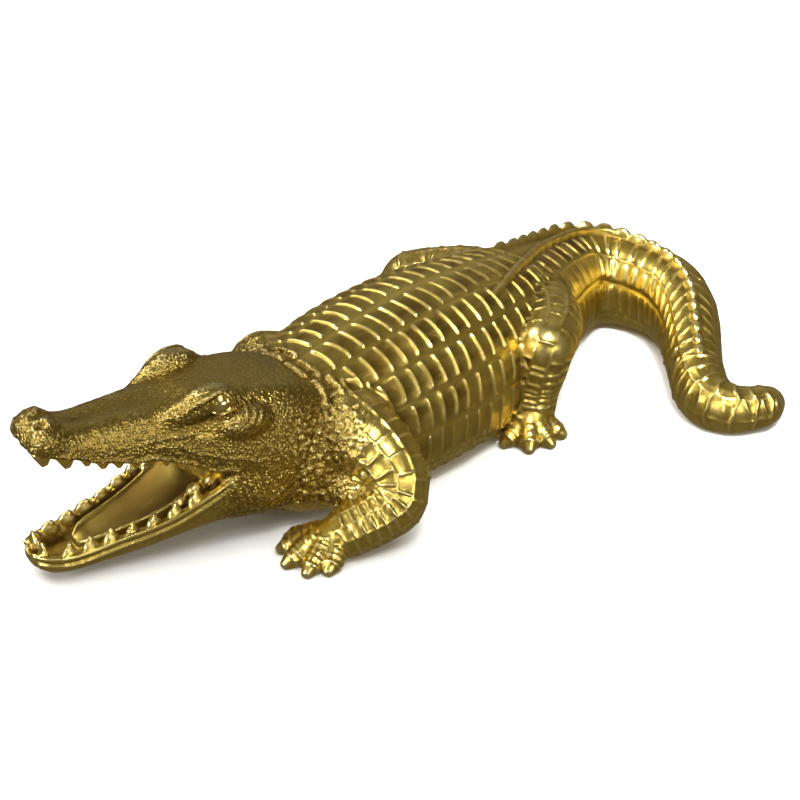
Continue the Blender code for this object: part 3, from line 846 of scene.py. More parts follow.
def headLines():
    t = np.linspace(0, 6, 40)
    u = np.linspace(0, 1, 20)
    for way in (-1, 1):
        # lids round the eye, the ridge over it and the folds behind it
        for part in ("upper", "lower"):
            first, last, opening, thick = lidSettings[part]
            spots = lidPoints(way, first, last, opening, 0.6 if way < 0 else -0.3)
            addLine(spots, thick * (1 if way < 0 else 0.7) * taper(np.arange(30) / 29, 0.2, 0.5))
        ahead, across, height = readTable(lidSettings["ridge"], t).T
        layLine(headPoint(ahead, way * across, height), 1.15 * taper(t / 6, 0.3, 0.35), lift=0.45, reach=5)
        for k in range(lidSettings["folds"]):
            fold = readTable(lidSettings["fold"], t / 2) + k * np.array(lidSettings["foldStep"])
            ahead, across, height = fold.T
            layLine(headPoint(ahead + 0.45 * np.sin(t * 2.3 + 2.1 * k), way * across, height),
                    (0.72 - 0.1 * k) * taper(t / 6, 0.35, 0.3), lift=0.1, reach=6)
        # lower lip: two lines along its outer edge
        ahead = np.linspace(31, 112, 80)
        half, _, lip, _ = readTable(jaw, ahead).T
        fade = 0.15 + 0.85 * ease(ahead, 31, 46)
        for out, up, width, lift in lipSettings["lower"]:
            layLine(headPoint(ahead, way * (half + out), lip + up), width * fade, lift=lift)
        # upper lip: a soft wavy welt over the teeth, and a crease line above it
        ahead = np.linspace(30, 112, 80)
        half, _, lip = readTable(skull, ahead).T
        layLine(headPoint(ahead, way * half * 0.97, lip + 1.6 + 0.5 * np.sin(ahead * 0.42)),
                lipSettings["welt"], lift=-0.2)
        ahead = np.linspace(22, 62, 40)
        half, _, lip = readTable(skull, ahead).T
        layLine(headPoint(ahead, way * half, lip + 7.5 + 0.6 * np.sin(ahead * 0.5)),
                lipSettings["crease"], lift=0.0)
        for k in range(lipSettings["wrinkles"]):
            ahead = 34 - 4.2 * k - 5 * u + 0.6 * np.sin(7 * u + k)
            layLine(headPoint(ahead, way * 28.5, 40 - 3 * k - 20 * u),
                    lipSettings["wrinkleWidth"] * taper(u, 0.3, 0.3), lift=0.0, reach=6)
        ahead = np.linspace(40, 92.5, 50)
        half, top = readTable(tongue, ahead).T
        addLine(headPoint(ahead, way * half * 0.93, top), lipSettings["tongueEdge"])
    (ahead, across, height), (long, wide, tall) = mouthBack["middle"], mouthBack["radii"]
    folds = mouthBack["folds"]
    u = np.linspace(-0.72, 0.72, 16)
    for k in range(folds):
        aside = (k - (folds - 1) / 2) / (folds / 2) * 0.86 + 0.03 * np.sin(u * 6 + k)
        reach = np.sqrt(np.maximum(1 - aside ** 2 - u ** 2, 0.01))
        addLine(headPoint(ahead + long * reach - 0.1, across + wide * aside, height - tall * u),
                lipSettings["mouthFold"])


print("raised lines")
backLines()
tailLines()
limbLines()
toeLines()
headLines()


# Trees of nodes. A Wire stands for a socket, and sums on it add the nodes they need.

class Wire:
    def __init__(self, tree, socket=None):
        self.tree = tree
        self.socket = socket

    def node(self, kind, settings=None, out=0, **sockets):
        made = self.tree.nodes.new(kind)
        for key, value in (settings or {}).items():
            setattr(made, key, value)
        for label, value in sockets.items():
            target = made.inputs[int(label[1:]) if label[0] == "_" else label.replace("_", " ")]
            if isinstance(value, Wire):
                self.tree.links.new(value.socket, target)
            else:
                target.default_value = value
        return Wire(self.tree, made.outputs[out])

    def sum(self, operation, first, second):
        return self.node("ShaderNodeMath", {"operation": operation}, _0=first, _1=second)

    def __add__(self, other):
        return self.sum("ADD", self, other)

    def __sub__(self, other):
        return self.sum("SUBTRACT", self, other)

    def __rsub__(self, other):
        return self.sum("SUBTRACT", other, self)

    def __mul__(self, other):
        return self.sum("MULTIPLY", self, other)

    __radd__ = __add__
    __rmul__ = __mul__

    def between(self, low, high):
        return self.node("ShaderNodeMapRange", {"clamp": True}, _0=self, _1=low, _2=high)

    def tint(self, first, second):
        # from the first colour to the second as this value goes from 0 to 1
        return self.node("ShaderNodeMix", {"data_type": "RGBA"}, 2, _0=self, _6=first, _7=second)


# Geometry Nodes: one tree turns laid lines into raised threads, one sets shapes on points

def startTree(name, inputs):
    tree = bpy.data.node_groups.new(name, "GeometryNodeTree")
    tree.interface.new_socket("Geometry", in_out="INPUT", socket_type="NodeSocketGeometry")
    for label, (kind, value) in inputs.items():
        tree.interface.new_socket(label, in_out="INPUT", socket_type=kind).default_value = value
    tree.interface.new_socket("Geometry", in_out="OUTPUT", socket_type="NodeSocketGeometry")
    given = tree.nodes.new("NodeGroupInput")
    return Wire(tree), {socket.name: Wire(tree, socket) for socket in given.outputs if socket.name}


def readValue(wire, label, kind="FLOAT"):
    return wire.node("GeometryNodeInputNamedAttribute", {"data_type": kind}, "Attribute", Name=label)


def endTree(wire, made, paint):
    real = wire.node("GeometryNodeRealizeInstances", Geometry=made)
    finish = wire.node("GeometryNodeSetMaterial", Geometry=real, Material=paint)
    wire.tree.links.new(finish.socket, wire.tree.nodes.new("NodeGroupOutput").inputs[0])
    return wire.tree


def threadTree(paint):
    wire, given = startTree("laidThreads", {
        "Width": ("NodeSocketFloat", 1.0), "Sides": ("NodeSocketInt", 10)})
    thick = readValue(wire, "width") * given["Width"]
    curve = wire.node("GeometryNodeMeshToCurve", Mesh=given["Geometry"])
    sized = wire.node("GeometryNodeSetCurveRadius", Curve=curve, Radius=thick)
    profile = wire.node("GeometryNodeCurvePrimitiveCircle", Resolution=given["Sides"], Radius=1.0)
    solid = wire.node("GeometryNodeCurveToMesh",
                      Curve=sized, Profile_Curve=profile, Fill_Caps=True, Scale=thick)
    return endTree(wire, solid, paint)


def studTree(paint, shape, sides, rings):
    # shape is "tooth" for a blunt cone or "lump" for a rounded scute or bead
    wire, given = startTree(shape + "s%d" % sides, {"Scale": ("NodeSocketFloat", 1.0)})
    if shape == "tooth":
        stud = wire.node("GeometryNodeMeshCone", Vertices=sides, Side_Segments=rings, Radius_Top=0.3,
                         Radius_Bottom=1.0, Depth=1.0)
    else:
        stud = wire.node("GeometryNodeMeshUVSphere", Segments=sides, Rings=rings, Radius=1.0)
    turn = wire.node("FunctionNodeEulerToRotation", Euler=readValue(wire, "turn", "FLOAT_VECTOR"))
    size = wire.node("ShaderNodeVectorMath", {"operation": "SCALE"},
                     _0=readValue(wire, "size", "FLOAT_VECTOR"), Scale=given["Scale"])
    points = wire.node("GeometryNodeMeshToPoints", Mesh=given["Geometry"])
    placed = wire.node("GeometryNodeInstanceOnPoints",
                       Points=points, Instance=stud, Rotation=turn, Scale=size)
    return endTree(wire, placed, paint)


def grow(obj, tree, values):
    # runs a tree on an object with its inputs set, and keeps the plain mesh
    modifier = obj.modifiers.new(tree.name, "NODES")
    modifier.node_group = tree
    for item in tree.interface.items_tree:
        if item.item_type == "SOCKET" and item.in_out == "INPUT" and item.name in values:
            modifier[item.identifier] = values[item.name]
    return settle(obj)


def lineObject():
    verts, edges, widths = [], [], []
    for run in lines:
        for k, (point, width) in enumerate(run):
            if k:
                edges.append((len(verts) - 1, len(verts)))
            verts.append(toMetres(point).tolist())
            widths.append(width * 0.001)
    mesh = bpy.data.meshes.new("threads")
    mesh.from_pydata(verts, edges, [])
    mesh.attributes.new("width", "FLOAT", "POINT").data.foreach_set("value", widths)
    return addObject("threads", mesh)


def studObject(name, studs):
    # studs: place, outward direction, direction along, size along, across and out
    mesh = bpy.data.meshes.new(name)
    mesh.from_pydata([toMetres(stud[0]).tolist() for stud in studs], [], [])
    turns, sizes = [], []
    for _, outward, along, size in studs:
        up = Vector(outward).normalized()
        side = up.cross(Vector(along)).normalized()
        turns += Matrix((side.cross(up), side, up)).transposed().to_euler()[:]
        sizes += [v * 0.001 for v in size]
    mesh.attributes.new("turn", "FLOAT_VECTOR", "POINT").data.foreach_set("vector", turns)
    mesh.attributes.new("size", "FLOAT_VECTOR", "POINT").data.foreach_set("vector", sizes)
    return addObject(name, mesh)


teethSettings = {
    "lower": 7, "lowerFirst": 99.5, "lowerPitch": 8.6, "lowerHeight": 4.6, "lowerSize": (3.3, 2.2),
    "gumSize": (4.3, 2.3, 4.6),           # the rounded foot of each lower tooth
    "upper": 8, "upperFirst": 90, "upperPitch": 6.3, "upperHeight": 2.4, "upperSize": (3.5, 2.0),
    "fangs": (107.5, 98.6), "fangHeight": 4.4, "fangSize": (5.0, 2.4),
    "front": (108.4, 4.9, 11.6), "frontHeight": 6.4, "frontSize": (4.6, 2.4),
}


def jawTeeth():
    teeth, gums = [], []
    rim = headSettings["rim"]
    ahead3, right3 = np.append(snoutWay, 0), np.append(rightWay, 0)

    def tooth(foot, tip, along, size, big=1.0):
        axis = tip - foot
        teeth.append((foot, axis, along, (*(v * big for v in size), np.linalg.norm(axis))))

    for way in (-1, 1):
        for i in range(teethSettings["lower"]):
            ahead = teethSettings["lowerFirst"] - i * teethSettings["lowerPitch"]
            half, _, lip, _ = readTable(jaw, ahead)
            across = half - 0.62 * rim
            big = 0.86 + 0.26 * shuffle(i, 21)
            tooth(headPoint(ahead, way * across, lip - 1.6),
                  headPoint(ahead - 0.5, way * (across - 1.2), lip + teethSettings["lowerHeight"] * big),
                  ahead3, teethSettings["lowerSize"], big)
            gums.append((headPoint(ahead, way * across, lip - 0.6), np.append(rightWay * -0.15 * way, 1),
                         ahead3, [v * big * (1 if way > 0 else 0.86) for v in teethSettings["gumSize"]]))
        for i in range(teethSettings["upper"]):
            ahead = teethSettings["upperFirst"] - i * teethSettings["upperPitch"]
            half, _, lip = readTable(skull, ahead)
            across = 0.95 * half - 0.35 * rim
            big = 0.85 + 0.3 * shuffle(i, 22)
            tooth(headPoint(ahead, way * across, lip + 1.6),
                  headPoint(ahead, way * (across + 0.2), lip - teethSettings["upperHeight"] * big),
                  ahead3, teethSettings["upperSize"], big)
        for ahead in teethSettings["fangs"]:
            half, _, lip = readTable(skull, ahead)
            across = 0.95 * half - 0.5 * teethSettings["fangSize"][1]
            tooth(headPoint(ahead, way * across, lip + 2.2),
                  headPoint(ahead - 0.6, way * across, lip - teethSettings["fangHeight"]),
                  ahead3, teethSettings["fangSize"])
        ahead, across, height = teethSettings["front"]
        tooth(headPoint(ahead, way * across, height),
              headPoint(ahead + 0.6, way * (across + 0.6), height + teethSettings["frontHeight"]),
              right3, teethSettings["frontSize"])
        gums.append((headPoint(ahead, way * across, height + 1), (0, 0, 1), right3,
                     teethSettings["gumSize"]))
    return teeth, gums


crestSettings = {
    "length": 0.6,                        # share of the row
    "width": (2.0, 2.6),                  # on the hips, after the crests have met
    "shrink": 0.4,                        # lower before they end
    "firstRow": 12,                       # of the lumps that lead into the crests
    "leadLength": 0.52,
    "leadWidth": 2.2,
    "leadHeight": (0.6, 3.0),
}


def crestLumps():
    lumps = []

    def lump(place, angle, lift, *size):
        _, along, side = bodyFrame(np.array(place))
        outward = np.append(side * math.sin(angle), math.cos(angle))
        lumps.append((bodyPoint(place, angle, lift), outward, np.append(along, 0), size))

    narrow, wide = crestSettings["width"]
    for s, step in tailRows():
        place = s + 0.8 * step
        if place > backSettings["crestsEnd"]:
            break
        angle = math.radians(float(crestAngle(np.array(place))))
        high = float(crestHeight(np.array(place)))
        high *= 1 - crestSettings["shrink"] * float(ease(place, 345, 376))
        thick = narrow + (wide - narrow) * float(ease(place, 250, backSettings["crestsMeet"]))
        lump(place, angle, -0.4, step * crestSettings["length"], thick, high * 1.05 + 1.0)
    least, more = crestSettings["leadHeight"]
    for row in range(crestSettings["firstRow"], rowCount):
        place = backSettings["scutesBegin"] + (row + 0.7) * rowPitch
        rise = float(ease(place, backSettings["crestsBegin"] - 10, backSettings["hipsAt"]))
        for way in (-1, 1):
            if way > 0 or place <= backSettings["crestsBegin"]:
                lump(place, way * 1.5 * backSettings["columnTurn"], -0.6,
                     rowPitch * crestSettings["leadLength"], crestSettings["leadWidth"], least + more * rise)
    return lumps


beadSettings = {
    # pitch, size and how flat
    "shoulder": (3.5, 1.55, 0.75),
    "throat": (3.3, 1.15, 0.7),
    "bellyEdge": (3.4, 1.4, 0.65),
    "snoutTip": (2.7, 1.2, 0.6),
    "cheekRow": (1.7, 0.8, 0.9),
    "tailEdge": (8.6, 1.1, 0.8),
}
beadZones = {
    "leftShoulder": ((-77, -35, 38), (17, 17, 24)),       # middle and radii
    "rightShoulder": ((-60, 40, 36), (17, 17, 22)),
    "throatAlong": (6, 44),               # along the spine
    "bellyAlong": (60, 172),
    "bellyTurn": (104, 120),              # degrees from the top
    "nostrilClear": (103.8, 6.2, 72, 5.0),
    "cheekAhead": (46, 68),
    "tailAlong": (196, 352),
}


def skinBeads():
    beads = []
    ahead, _, height = headPlace(basePoints)
    s, angle, out = bodyPlace(basePoints)
    turn = np.degrees(np.abs(angle))
    zone = beadZones

    def bead(place, normal, size, flat, long=1.25):
        along = np.cross(normal, (0.31, 0.23, 0.92))
        beads.append((place - normal * 0.15 * size, normal, along, (size * long, size, size * flat)))

    def within(values, low, high):
        return (values > low) & (values < high)

    def inBall(middle, radii):
        return np.linalg.norm((basePoints - middle) / radii, axis=1) < 1

    def scatter(mask, kind, seed):
        pitch, size, flat = beadSettings[kind]
        picks = []
        for i in np.random.default_rng(seed).permutation(np.nonzero(mask)[0]):
            space = pitch * (0.8 + 0.35 * shuffle(int(i), seed))
            if picks and ((basePoints[picks] - basePoints[i]) ** 2).sum(1).min() < space * space:
                continue
            picks.append(i)
            bead(basePoints[i], baseNormals[i], size * (0.75 + 0.45 * shuffle(int(i), seed + 1)), flat)

    def stick(points, kind, long):
        _, size, flat = beadSettings[kind]
        for k, p in enumerate(toMetres(points)):
            spot, normal = surface.find_nearest(Vector(p), 0.006)[:2]
            if spot is not None:
                place = np.array(spot) * 1000 - (*castSettings["middle"], 0)
                bead(place, np.array(normal), size * (0.8 + 0.4 * shuffle(k, 31)), flat, long)

    shoulders = inBall(*zone["leftShoulder"]) | inBall(*zone["rightShoulder"])
    throat = within(s, *zone["throatAlong"]) & (turn > 92) & (out < 1.2) & (basePoints[:, 2] > 6)
    belly = within(s, *zone["bellyAlong"]) & within(turn, *zone["bellyTurn"]) & (out < 1.06)
    snout = within(ahead, 98, 115) & (height > 62)
    *spot, clear = zone["nostrilClear"]
    for way in (-1, 1):
        snout &= np.linalg.norm(basePoints - headPoint(spot[0], way * spot[1], spot[2]), axis=1) > clear
    scatter(shoulders & (out > 0.9), "shoulder", 1)
    scatter(throat & ~shoulders, "throat", 2)
    scatter(belly, "bellyEdge", 3)
    scatter(snout, "snoutTip", 4)
    for way in (-1, 1):
        rows = np.arange(*zone["cheekAhead"], beadSettings["cheekRow"][0])
        stick(headPoint(rows, way * (24.6 - 0.14 * (rows - zone["cheekAhead"][0])), 60.6), "cheekRow", 1)
        rows = np.arange(*zone["tailAlong"], beadSettings["tailEdge"][0])
        stick(bodyPoint(rows, way * math.radians(backSettings["tierAngles"][2])), "tailEdge", 1.6)
    print("beads:", len(beads))
    return beads


cornerTeeth = [
    # forward, across, height, size of the rounded lumps at the back of the jaw
    (46, 17, 30.5, 3.2), (52.5, 16.6, 26.2, 2.8), (39.5, 20, 35, 2.8),
]

gold = bpy.data.materials.new("gilt")
print("threads, crests and teeth")
threads = grow(lineObject(), threadTree(gold), {"Width": 1.0, "Sides": 10})
toothStuds, gumStuds = jawTeeth()
crestStuds = crestLumps() + gumStuds
teeth = grow(studObject("teeth", toothStuds), studTree(gold, "tooth", 12, 4), {"Scale": 1.0})
lumps = grow(studObject("crests", crestStuds), studTree(gold, "lump", 16, 10), {"Scale": 1.0})
beads = grow(studObject("beads", skinBeads()), studTree(gold, "lump", 8, 6), {"Scale": 1.0})
parts = [base, threads, lumps, teeth, beads, skin("tongue", tongueRings())]
for way in (-1, 1):
    parts.append(ball("eye", eyeMiddle(way), (headSettings["eyeRadius"],) * 3))
    for ahead, across, height, size in cornerTeeth:
        parts.append(ball("cornerTooth", headPoint(ahead, way * across, height),
                          (size * 1.2, size * 0.9, size)))
for limb in toes:
    parts += toeForms(limb)
croc = joinAll("crocodileCast", parts)
settle(croc, ("REMESH", {"mode": "VOXEL", "voxel_size": castSettings["reliefVoxel"] * 0.001}),
       ("SMOOTH", {"factor": 0.5, "iterations": castSettings["reliefSmoothing"]}))
print("joined cast has", len(croc.data.vertices), "points")


# Finer relief, pushed in and out along the surface

zoneSettings = {
    # lengths ahead of the nape on the head, along the spine on the body
    "mouthAhead": (34, 106),
    "mouthHeight": (12, 60),
    "mouthDeep": (44, 56, 50),            # from, to and below this height
    "teethFrom": 38,
    "leatherAhead": (-38, -8),
    "lowerJawAhead": (32, 46),
    "lowerJawShare": 0.25,
    "throatBegins": (4, 10),
    "throatEnds": (30, 48),
    "throatShare": 0.8,
    "keptInside": ((40, 50), (44, 54)),   # left and right of the middle plane
    "handHeight": 16,
    "top": ((0.7, 0.95), (60, 66)),       # how upright the normal, and how high
}


def skinZones(points, normals):
    # where the skin is leathery, where it is also pebbly, the eyeballs and the depth of the mouth, which the
    # finish darkens as painted shade
    zone = zoneSettings
    ahead, across, height = headPlace(points)
    s, _, out = bodyPlace(points)
    jawHalf, _, jawLip, _ = readTable(jaw, ahead).T
    mouthFrom, mouthTo = zone["mouthAhead"]
    mouthLow, mouthHigh = zone["mouthHeight"]
    inMouth = (ahead > mouthFrom) * (ahead < mouthTo) * (np.abs(across) < np.minimum(26, jawHalf - 3.0))
    inMouth = inMouth * (height < mouthHigh) * (height > mouthLow)
    onTeeth = (ahead > zone["teethFrom"]) * (height > jawLip - 0.9)
    onTeeth = onTeeth * (height < readTable(skull, ahead)[:, 2] + 0.8)
    onEye = np.zeros(len(points))
    for way in (-1, 1):
        away = np.linalg.norm(points - eyeMiddle(way), axis=1) - headSettings["eyeRadius"]
        onEye = np.maximum(onEye, 1 - ease(away, 0.3, 1.4))
    lowerJaw = ease(ahead, *zone["lowerJawAhead"]) * (height < jawLip + 0.5)
    leather = ease(ahead, *zone["leatherAhead"]) * (1 - np.maximum(inMouth, onTeeth)) * (1 - onEye)
    leather = leather * (1 - (1 - zone["lowerJawShare"]) * lowerJaw)
    leather = leather * (np.linalg.norm(points[:, :2], axis=1) > 60)      # none on the trunk
    throat = ease(s, *zone["throatBegins"]) * (1 - ease(s, *zone["throatEnds"])) * (1 - ease(out, 1.2, 1.3))
    left, right = zone["keptInside"]
    leather = np.maximum(leather, zone["throatShare"] * throat)
    leather = leather * (1 - ease(-points[:, 1], *left)) * (1 - ease(points[:, 1], *right))
    onHand = (points[:, 2] < zone["handHeight"]) * (points[:, 1] < -22)
    leather = np.clip(leather * (1 - onHand), 0, 1)
    upright, high = zone["top"]
    onTop = ease(normals[:, 2], *upright) * ease(height, *high)
    deepFrom, deepTo, deepBelow = zone["mouthDeep"]
    deep = inMouth * (height < deepBelow) * ease(ahead, deepFrom, deepTo)
    return leather, leather * (1 - 0.5 * onTop), onEye, deep


reliefSettings = {
    "pebble": (2.5, 0.24),                # cell, height
    "backGroove": (0.2, 0.55),            # depth, width
    "backReach": 126,                     # degrees from the top
    "tailGroove": (0.5, 0.8),
    "nostrilRim": (0.8, 3.1, 0.9),        # height, distance from the middle, width
    "nostrilHole": (2.0, 1.6),
}


def deepen(points, normals):
    # how far each point moves along its normal
    s, angle, out = bodyPlace(points)
    push = np.zeros(len(points))
    pebbly = skinZones(points, normals)[1]
    rough = np.nonzero(pebbly > 0.05)[0]
    cell, high = reliefSettings["pebble"]
    away = np.array([noise.voronoi(Vector(spot))[0][0] for spot in points[rough] / cell])
    push[rough] += high * pebbly[rough] * np.clip(1 - away / 0.62, 0, 1)
    onBody = ease(out, 0.80, 0.9) * (1 - ease(out, 1.06, 1.1))
    half = readTable(spineRows, s)[:, 4]
    column = angle / backSettings["columnTurn"]
    gap = np.abs(column - np.round(column)) * backSettings["columnTurn"] * half
    onBack = onBody * ease(s, 40, 50) * (1 - ease(s, 176, 186))
    onBack = onBack * (np.abs(angle) < math.radians(reliefSettings["backReach"]))
    depth, width = reliefSettings["backGroove"]
    push -= depth * onBack * np.exp(-(gap / width) ** 2)
    onTail = onBody * ease(s, 186, 196) * (1 - ease(s, 366, 376))
    gap = np.abs(np.abs(angle) - math.radians(backSettings["tierAngles"][1])) * half
    depth, width = reliefSettings["tailGroove"]
    push -= depth * onTail * np.exp(-(gap / width) ** 2)
    ahead, across, height = headSettings["nostril"]
    rim, rimAway, rimWidth = reliefSettings["nostrilRim"]
    hole, holeWidth = reliefSettings["nostrilHole"]
    for way in (-1, 1):
        away = np.linalg.norm((points - headPoint(ahead, way * across, height)) / (1, 1, 1.6), axis=1)
        push += rim * np.exp(-((away - rimAway) / rimWidth) ** 2) - hole * np.exp(-(away / holeWidth) ** 2)
    return push


points = readPoints(croc.data)
normals = readNormals(croc.data)
points += normals * deepen(points, normals)[:, None]
writePoints(croc.data, points)

triangles = sum(len(p.vertices) - 2 for p in croc.data.polygons)
settle(croc, ("DECIMATE", {"ratio": min(1.0, castSettings["triangles"] / triangles)}))
points = readPoints(croc.data)
points[:, 2] = np.maximum(points[:, 2], 0.0)
writePoints(croc.data, points)
croc.name = "crocodile_cast"
croc.data.name = "crocodile_cast"
croc.data.shade_smooth()
print("finished cast has", len(croc.data.polygons), "faces")


# Values over the surface that the finish reads, with the masks for painted shade and painted highlight

# painted light: hollows and the depth of the mouth get painted shade, raised edges a painted highlight
paintedLightSettings = {
    "fine": (2, 0.03, 0.26),              # rounds of evening out, the lift in mm from none to full
    "broad": (14, 0.1, 1.0),
    "edge": (0.05, 0.3),
    "shares": (0.55, 0.75, 0.34),         # of fine hollows, broad hollows and the depth of the mouth in the painted shade
}


def evenOut(values, edges, count, times):
    for _ in range(times):
        total = values.copy()
        for k in range(values.shape[1]):
            total[:, k] += np.bincount(edges[:, 0], values[edges[:, 1], k], len(values))
            total[:, k] += np.bincount(edges[:, 1], values[edges[:, 0], k], len(values))
        values = total / (count[:, None] + 1)
    return values


def surfaceValues(mesh):
    points = readPoints(mesh)
    normals = readNormals(mesh)
    edges = np.empty(len(mesh.edges) * 2, np.int32)
    mesh.edges.foreach_get("vertices", edges)
    edges = edges.reshape(-1, 2)
    count = np.bincount(edges.ravel(), minlength=len(points)).astype(float)
    lifts, hollows = [], []
    for rounds, low, high in (paintedLightSettings["fine"], paintedLightSettings["broad"]):
        lifts.append(((evenOut(points, edges, count, rounds) - points) * normals).sum(1))
        hollows.append(ease(lifts[-1], low, high))
    # painted highlight: raised ridges and edges lighten towards a pale gold
    edge = ease(-lifts[0], *paintedLightSettings["edge"])
    fine, broad = evenOut(np.stack(hollows, 1), edges, count, 1).T
    leather, pebbly, onEye, deep = skinZones(points, normals)
    fineShare, broadShare, deepShare = paintedLightSettings["shares"]
    # painted shade: darker in fine and broad hollows and deep in the mouth
    hollow = np.clip(fineShare * fine + broadShare * broad + deepShare * deep, 0, 1)
    return {"hollow": hollow, "edge": edge, "leather": leather, "pebbly": pebbly, "polished": onEye}


for label, values in surfaceValues(croc.data).items():
    croc.data.attributes.new(label, "FLOAT", "POINT").data.foreach_set("value", values.astype(np.float32))


# Finish

giltSettings = {
    "gold": (0.80, 0.63, 0.15, 1.0),
    "deepGold": (0.66, 0.49, 0.105, 1.0),
    "skin": (0.34, 0.24, 0.055, 1.0),
    # colour of the painted shade in hollows, the mouth and the pebble seams
    "paintedShade": (0.17, 0.10, 0.018, 1.0),
    # colour of the painted highlight on raised edges
    "edge": (0.98, 0.86, 0.45, 1.0),
    "pebbleScale": 780,
    "coarseScale": 330,
    "grainScale": 1500,
    "cloudScale": 42,
    "roughness": 0.25,
    "cloudRough": 0.09,
    "hollowRough": 0.22,
    "eyePolish": 0.16,
    "bumpDistance": 0.0006,
}


def giltFinish(material):
    material.use_nodes = True
    tree = material.node_tree
    shader = tree.nodes["Principled BSDF"]
    wire = Wire(tree)
    place = wire.node("ShaderNodeTexCoord", out="Object")
    hollow, edge, leather, pebbly, polished = (
        wire.node("ShaderNodeAttribute", {"attribute_name": label}, "Fac")
        for label in ("hollow", "edge", "leather", "pebbly", "polished"))
    pebbles = wire.node("ShaderNodeTexVoronoi", {"feature": "F1"}, "Distance",
                        Vector=place, Scale=giltSettings["pebbleScale"])
    coarse = wire.node("ShaderNodeTexVoronoi", {"feature": "F1"}, "Distance",
                       Vector=place, Scale=giltSettings["coarseScale"])
    grain = wire.node("ShaderNodeTexNoise", None, "Fac",
                      Vector=place, Scale=giltSettings["grainScale"], Detail=3.0)
    cloud = wire.node("ShaderNodeTexNoise", None, "Fac",
                      Vector=place, Scale=giltSettings["cloudScale"], Detail=4.0)
    # painted shade in the seams between the pebbles
    seams = pebbles.between(0.3, 0.62) * pebbly
    colour = cloud.between(0.35, 0.65).tint(giltSettings["gold"], giltSettings["deepGold"])
    # leathery skin takes a browner tone of its own, made deeper between the pebbles as painted shade
    colour = ((pebbles.between(0.16, 0.5) * 0.4 + 0.4) * leather).tint(colour, giltSettings["skin"])
    # painted shade: hollows, the depth of the mouth and the pebble seams darken the gilt and roughen it
    shade = (hollow * 0.95 + seams * 0.45).between(0.0, 1.0)
    colour = shade.tint(colour, giltSettings["paintedShade"])
    # painted highlight on raised edges, kept off the pebble seams
    colour = (edge * 0.75 * (1 - seams)).tint(colour, giltSettings["edge"])
    rough = giltSettings["roughness"] + cloud.between(0.3, 0.7) * giltSettings["cloudRough"]
    rough = rough + shade * giltSettings["hollowRough"] - polished * giltSettings["eyePolish"]
    lump = (1 - pebbles.between(0.05, 0.6)) * 0.55 + (1 - coarse.between(0.05, 0.65)) * 0.4
    height = lump * pebbly + grain * 0.12 * (1 - polished)
    bump = wire.node("ShaderNodeBump", None, "Normal",
                     Strength=0.9, Distance=giltSettings["bumpDistance"], Height=height)
    shader.inputs["Metallic"].default_value = 1.0
    tree.links.new(colour.socket, shader.inputs["Base Color"])
    tree.links.new(rough.socket, shader.inputs["Roughness"])
    tree.links.new(bump.socket, shader.inputs["Normal"])


print("finish")
giltFinish(gold)
croc.data.materials.clear()
croc.data.materials.append(gold)

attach(croc, "root")
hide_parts("crocodile")


# Floor, camera and light

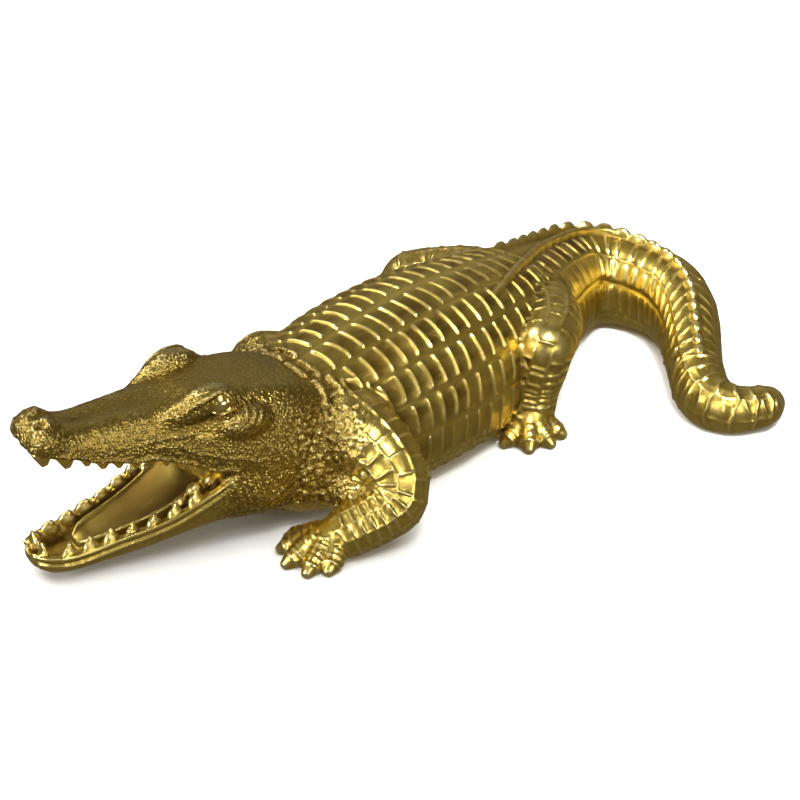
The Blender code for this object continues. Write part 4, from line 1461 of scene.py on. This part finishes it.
stageSettings = {
    "floorHalf": 6,
    "floorColour": (0.88, 0.88, 0.87, 1.0),
    "floorRoughness": 0.9,
    "azimuth": -45.0,
    "elevation": 29.0,
    "distance": 1.0,
    "lens": 100.0,
    "target": (0.00123, 0.009, 0.02),
    "worldColour": (0.17, 0.145, 0.10, 1.0),
}
softboxes = {
    # place, aim, width, height, power
    "keyBox": ((-1.45, 0.1, 0.5), (0, 0, 0.02), 0.8, 0.5, 10),
    "sideBox": ((-0.3, -1.6, 0.55), (0.05, 0, 0.02), 0.9, 0.4, 8),
    "frontBox": ((-0.75, -0.95, 1.45), (0.05, 0, 0.02), 0.8, 0.5, 3.0),
    "tailBox": ((-0.22, -0.54, 1.05), (0.17, 0.01, 0.03), 0.36, 0.28, 0.5),
    "barBox": ((-0.75, 1.35, 1.6), (0, 0, 0.02), 0.9, 0.9, 20),
    "backBox": ((1.3, 1.1, 1.1), (0, 0, 0.02), 1.8, 1.3, 1.5),
    "tableBox": ((0, 0, 2.6), (0, 0, 0), 4.5, 4.5, 150),
}
softboxSpread = {"tailBox": 24}           # degrees, the others shine all ways
notMirrored = ("tableBox",)               # lights the floor, stays out of the gold


def paleFloor():
    half = stageSettings["floorHalf"]
    mesh = bpy.data.meshes.new("floor")
    mesh.from_pydata([(-half, -half, 0), (half, -half, 0), (half, half, 0), (-half, half, 0)], [],
                     [(0, 1, 2, 3)])
    paint = bpy.data.materials.new("palePaper")
    paint.use_nodes = True
    shader = paint.node_tree.nodes["Principled BSDF"]
    shader.inputs["Base Color"].default_value = stageSettings["floorColour"]
    shader.inputs["Roughness"].default_value = stageSettings["floorRoughness"]
    mesh.materials.append(paint)
    floor = addObject("floor", mesh)
    floor.visible_glossy = False          # the pale floor stays out of the polished sides
    return floor


def photoCamera():
    azimuth, elevation = (math.radians(stageSettings[label]) for label in ("azimuth", "elevation"))
    back = Vector((math.sin(azimuth) * math.cos(elevation), -math.cos(azimuth) * math.cos(elevation),
                   math.sin(elevation)))
    data = bpy.data.cameras.new("camera")
    data.lens = stageSettings["lens"]
    data.sensor_width = 36.0
    camera = addObject("camera", data)
    camera.location = Vector(stageSettings["target"]) + back * stageSettings["distance"]
    camera.rotation_euler = back.to_track_quat("Z", "Y").to_euler()
    return camera


def softbox(name, place, aim, width, height, power):
    data = bpy.data.lights.new(name, "AREA")
    data.shape = "RECTANGLE"
    data.size = width
    data.size_y = height
    data.energy = power
    data.spread = math.radians(softboxSpread.get(name, 180))
    lamp = addObject(name, data)
    lamp.location = place
    lamp.rotation_euler = (Vector(place) - Vector(aim)).to_track_quat("Z", "Y").to_euler()
    lamp.visible_glossy = name not in notMirrored


print("stage")
floor = paleFloor()
bpy.context.scene.camera = photoCamera()
bpy.context.scene.view_settings.view_transform = "Standard"
world = bpy.data.worlds.new("studio")
bpy.context.scene.world = world
world.use_nodes = True
background = world.node_tree.nodes["Background"].inputs
background["Color"].default_value = stageSettings["worldColour"]
background["Strength"].default_value = 1.0
for name, box in softboxes.items():
    softbox(name, *box)
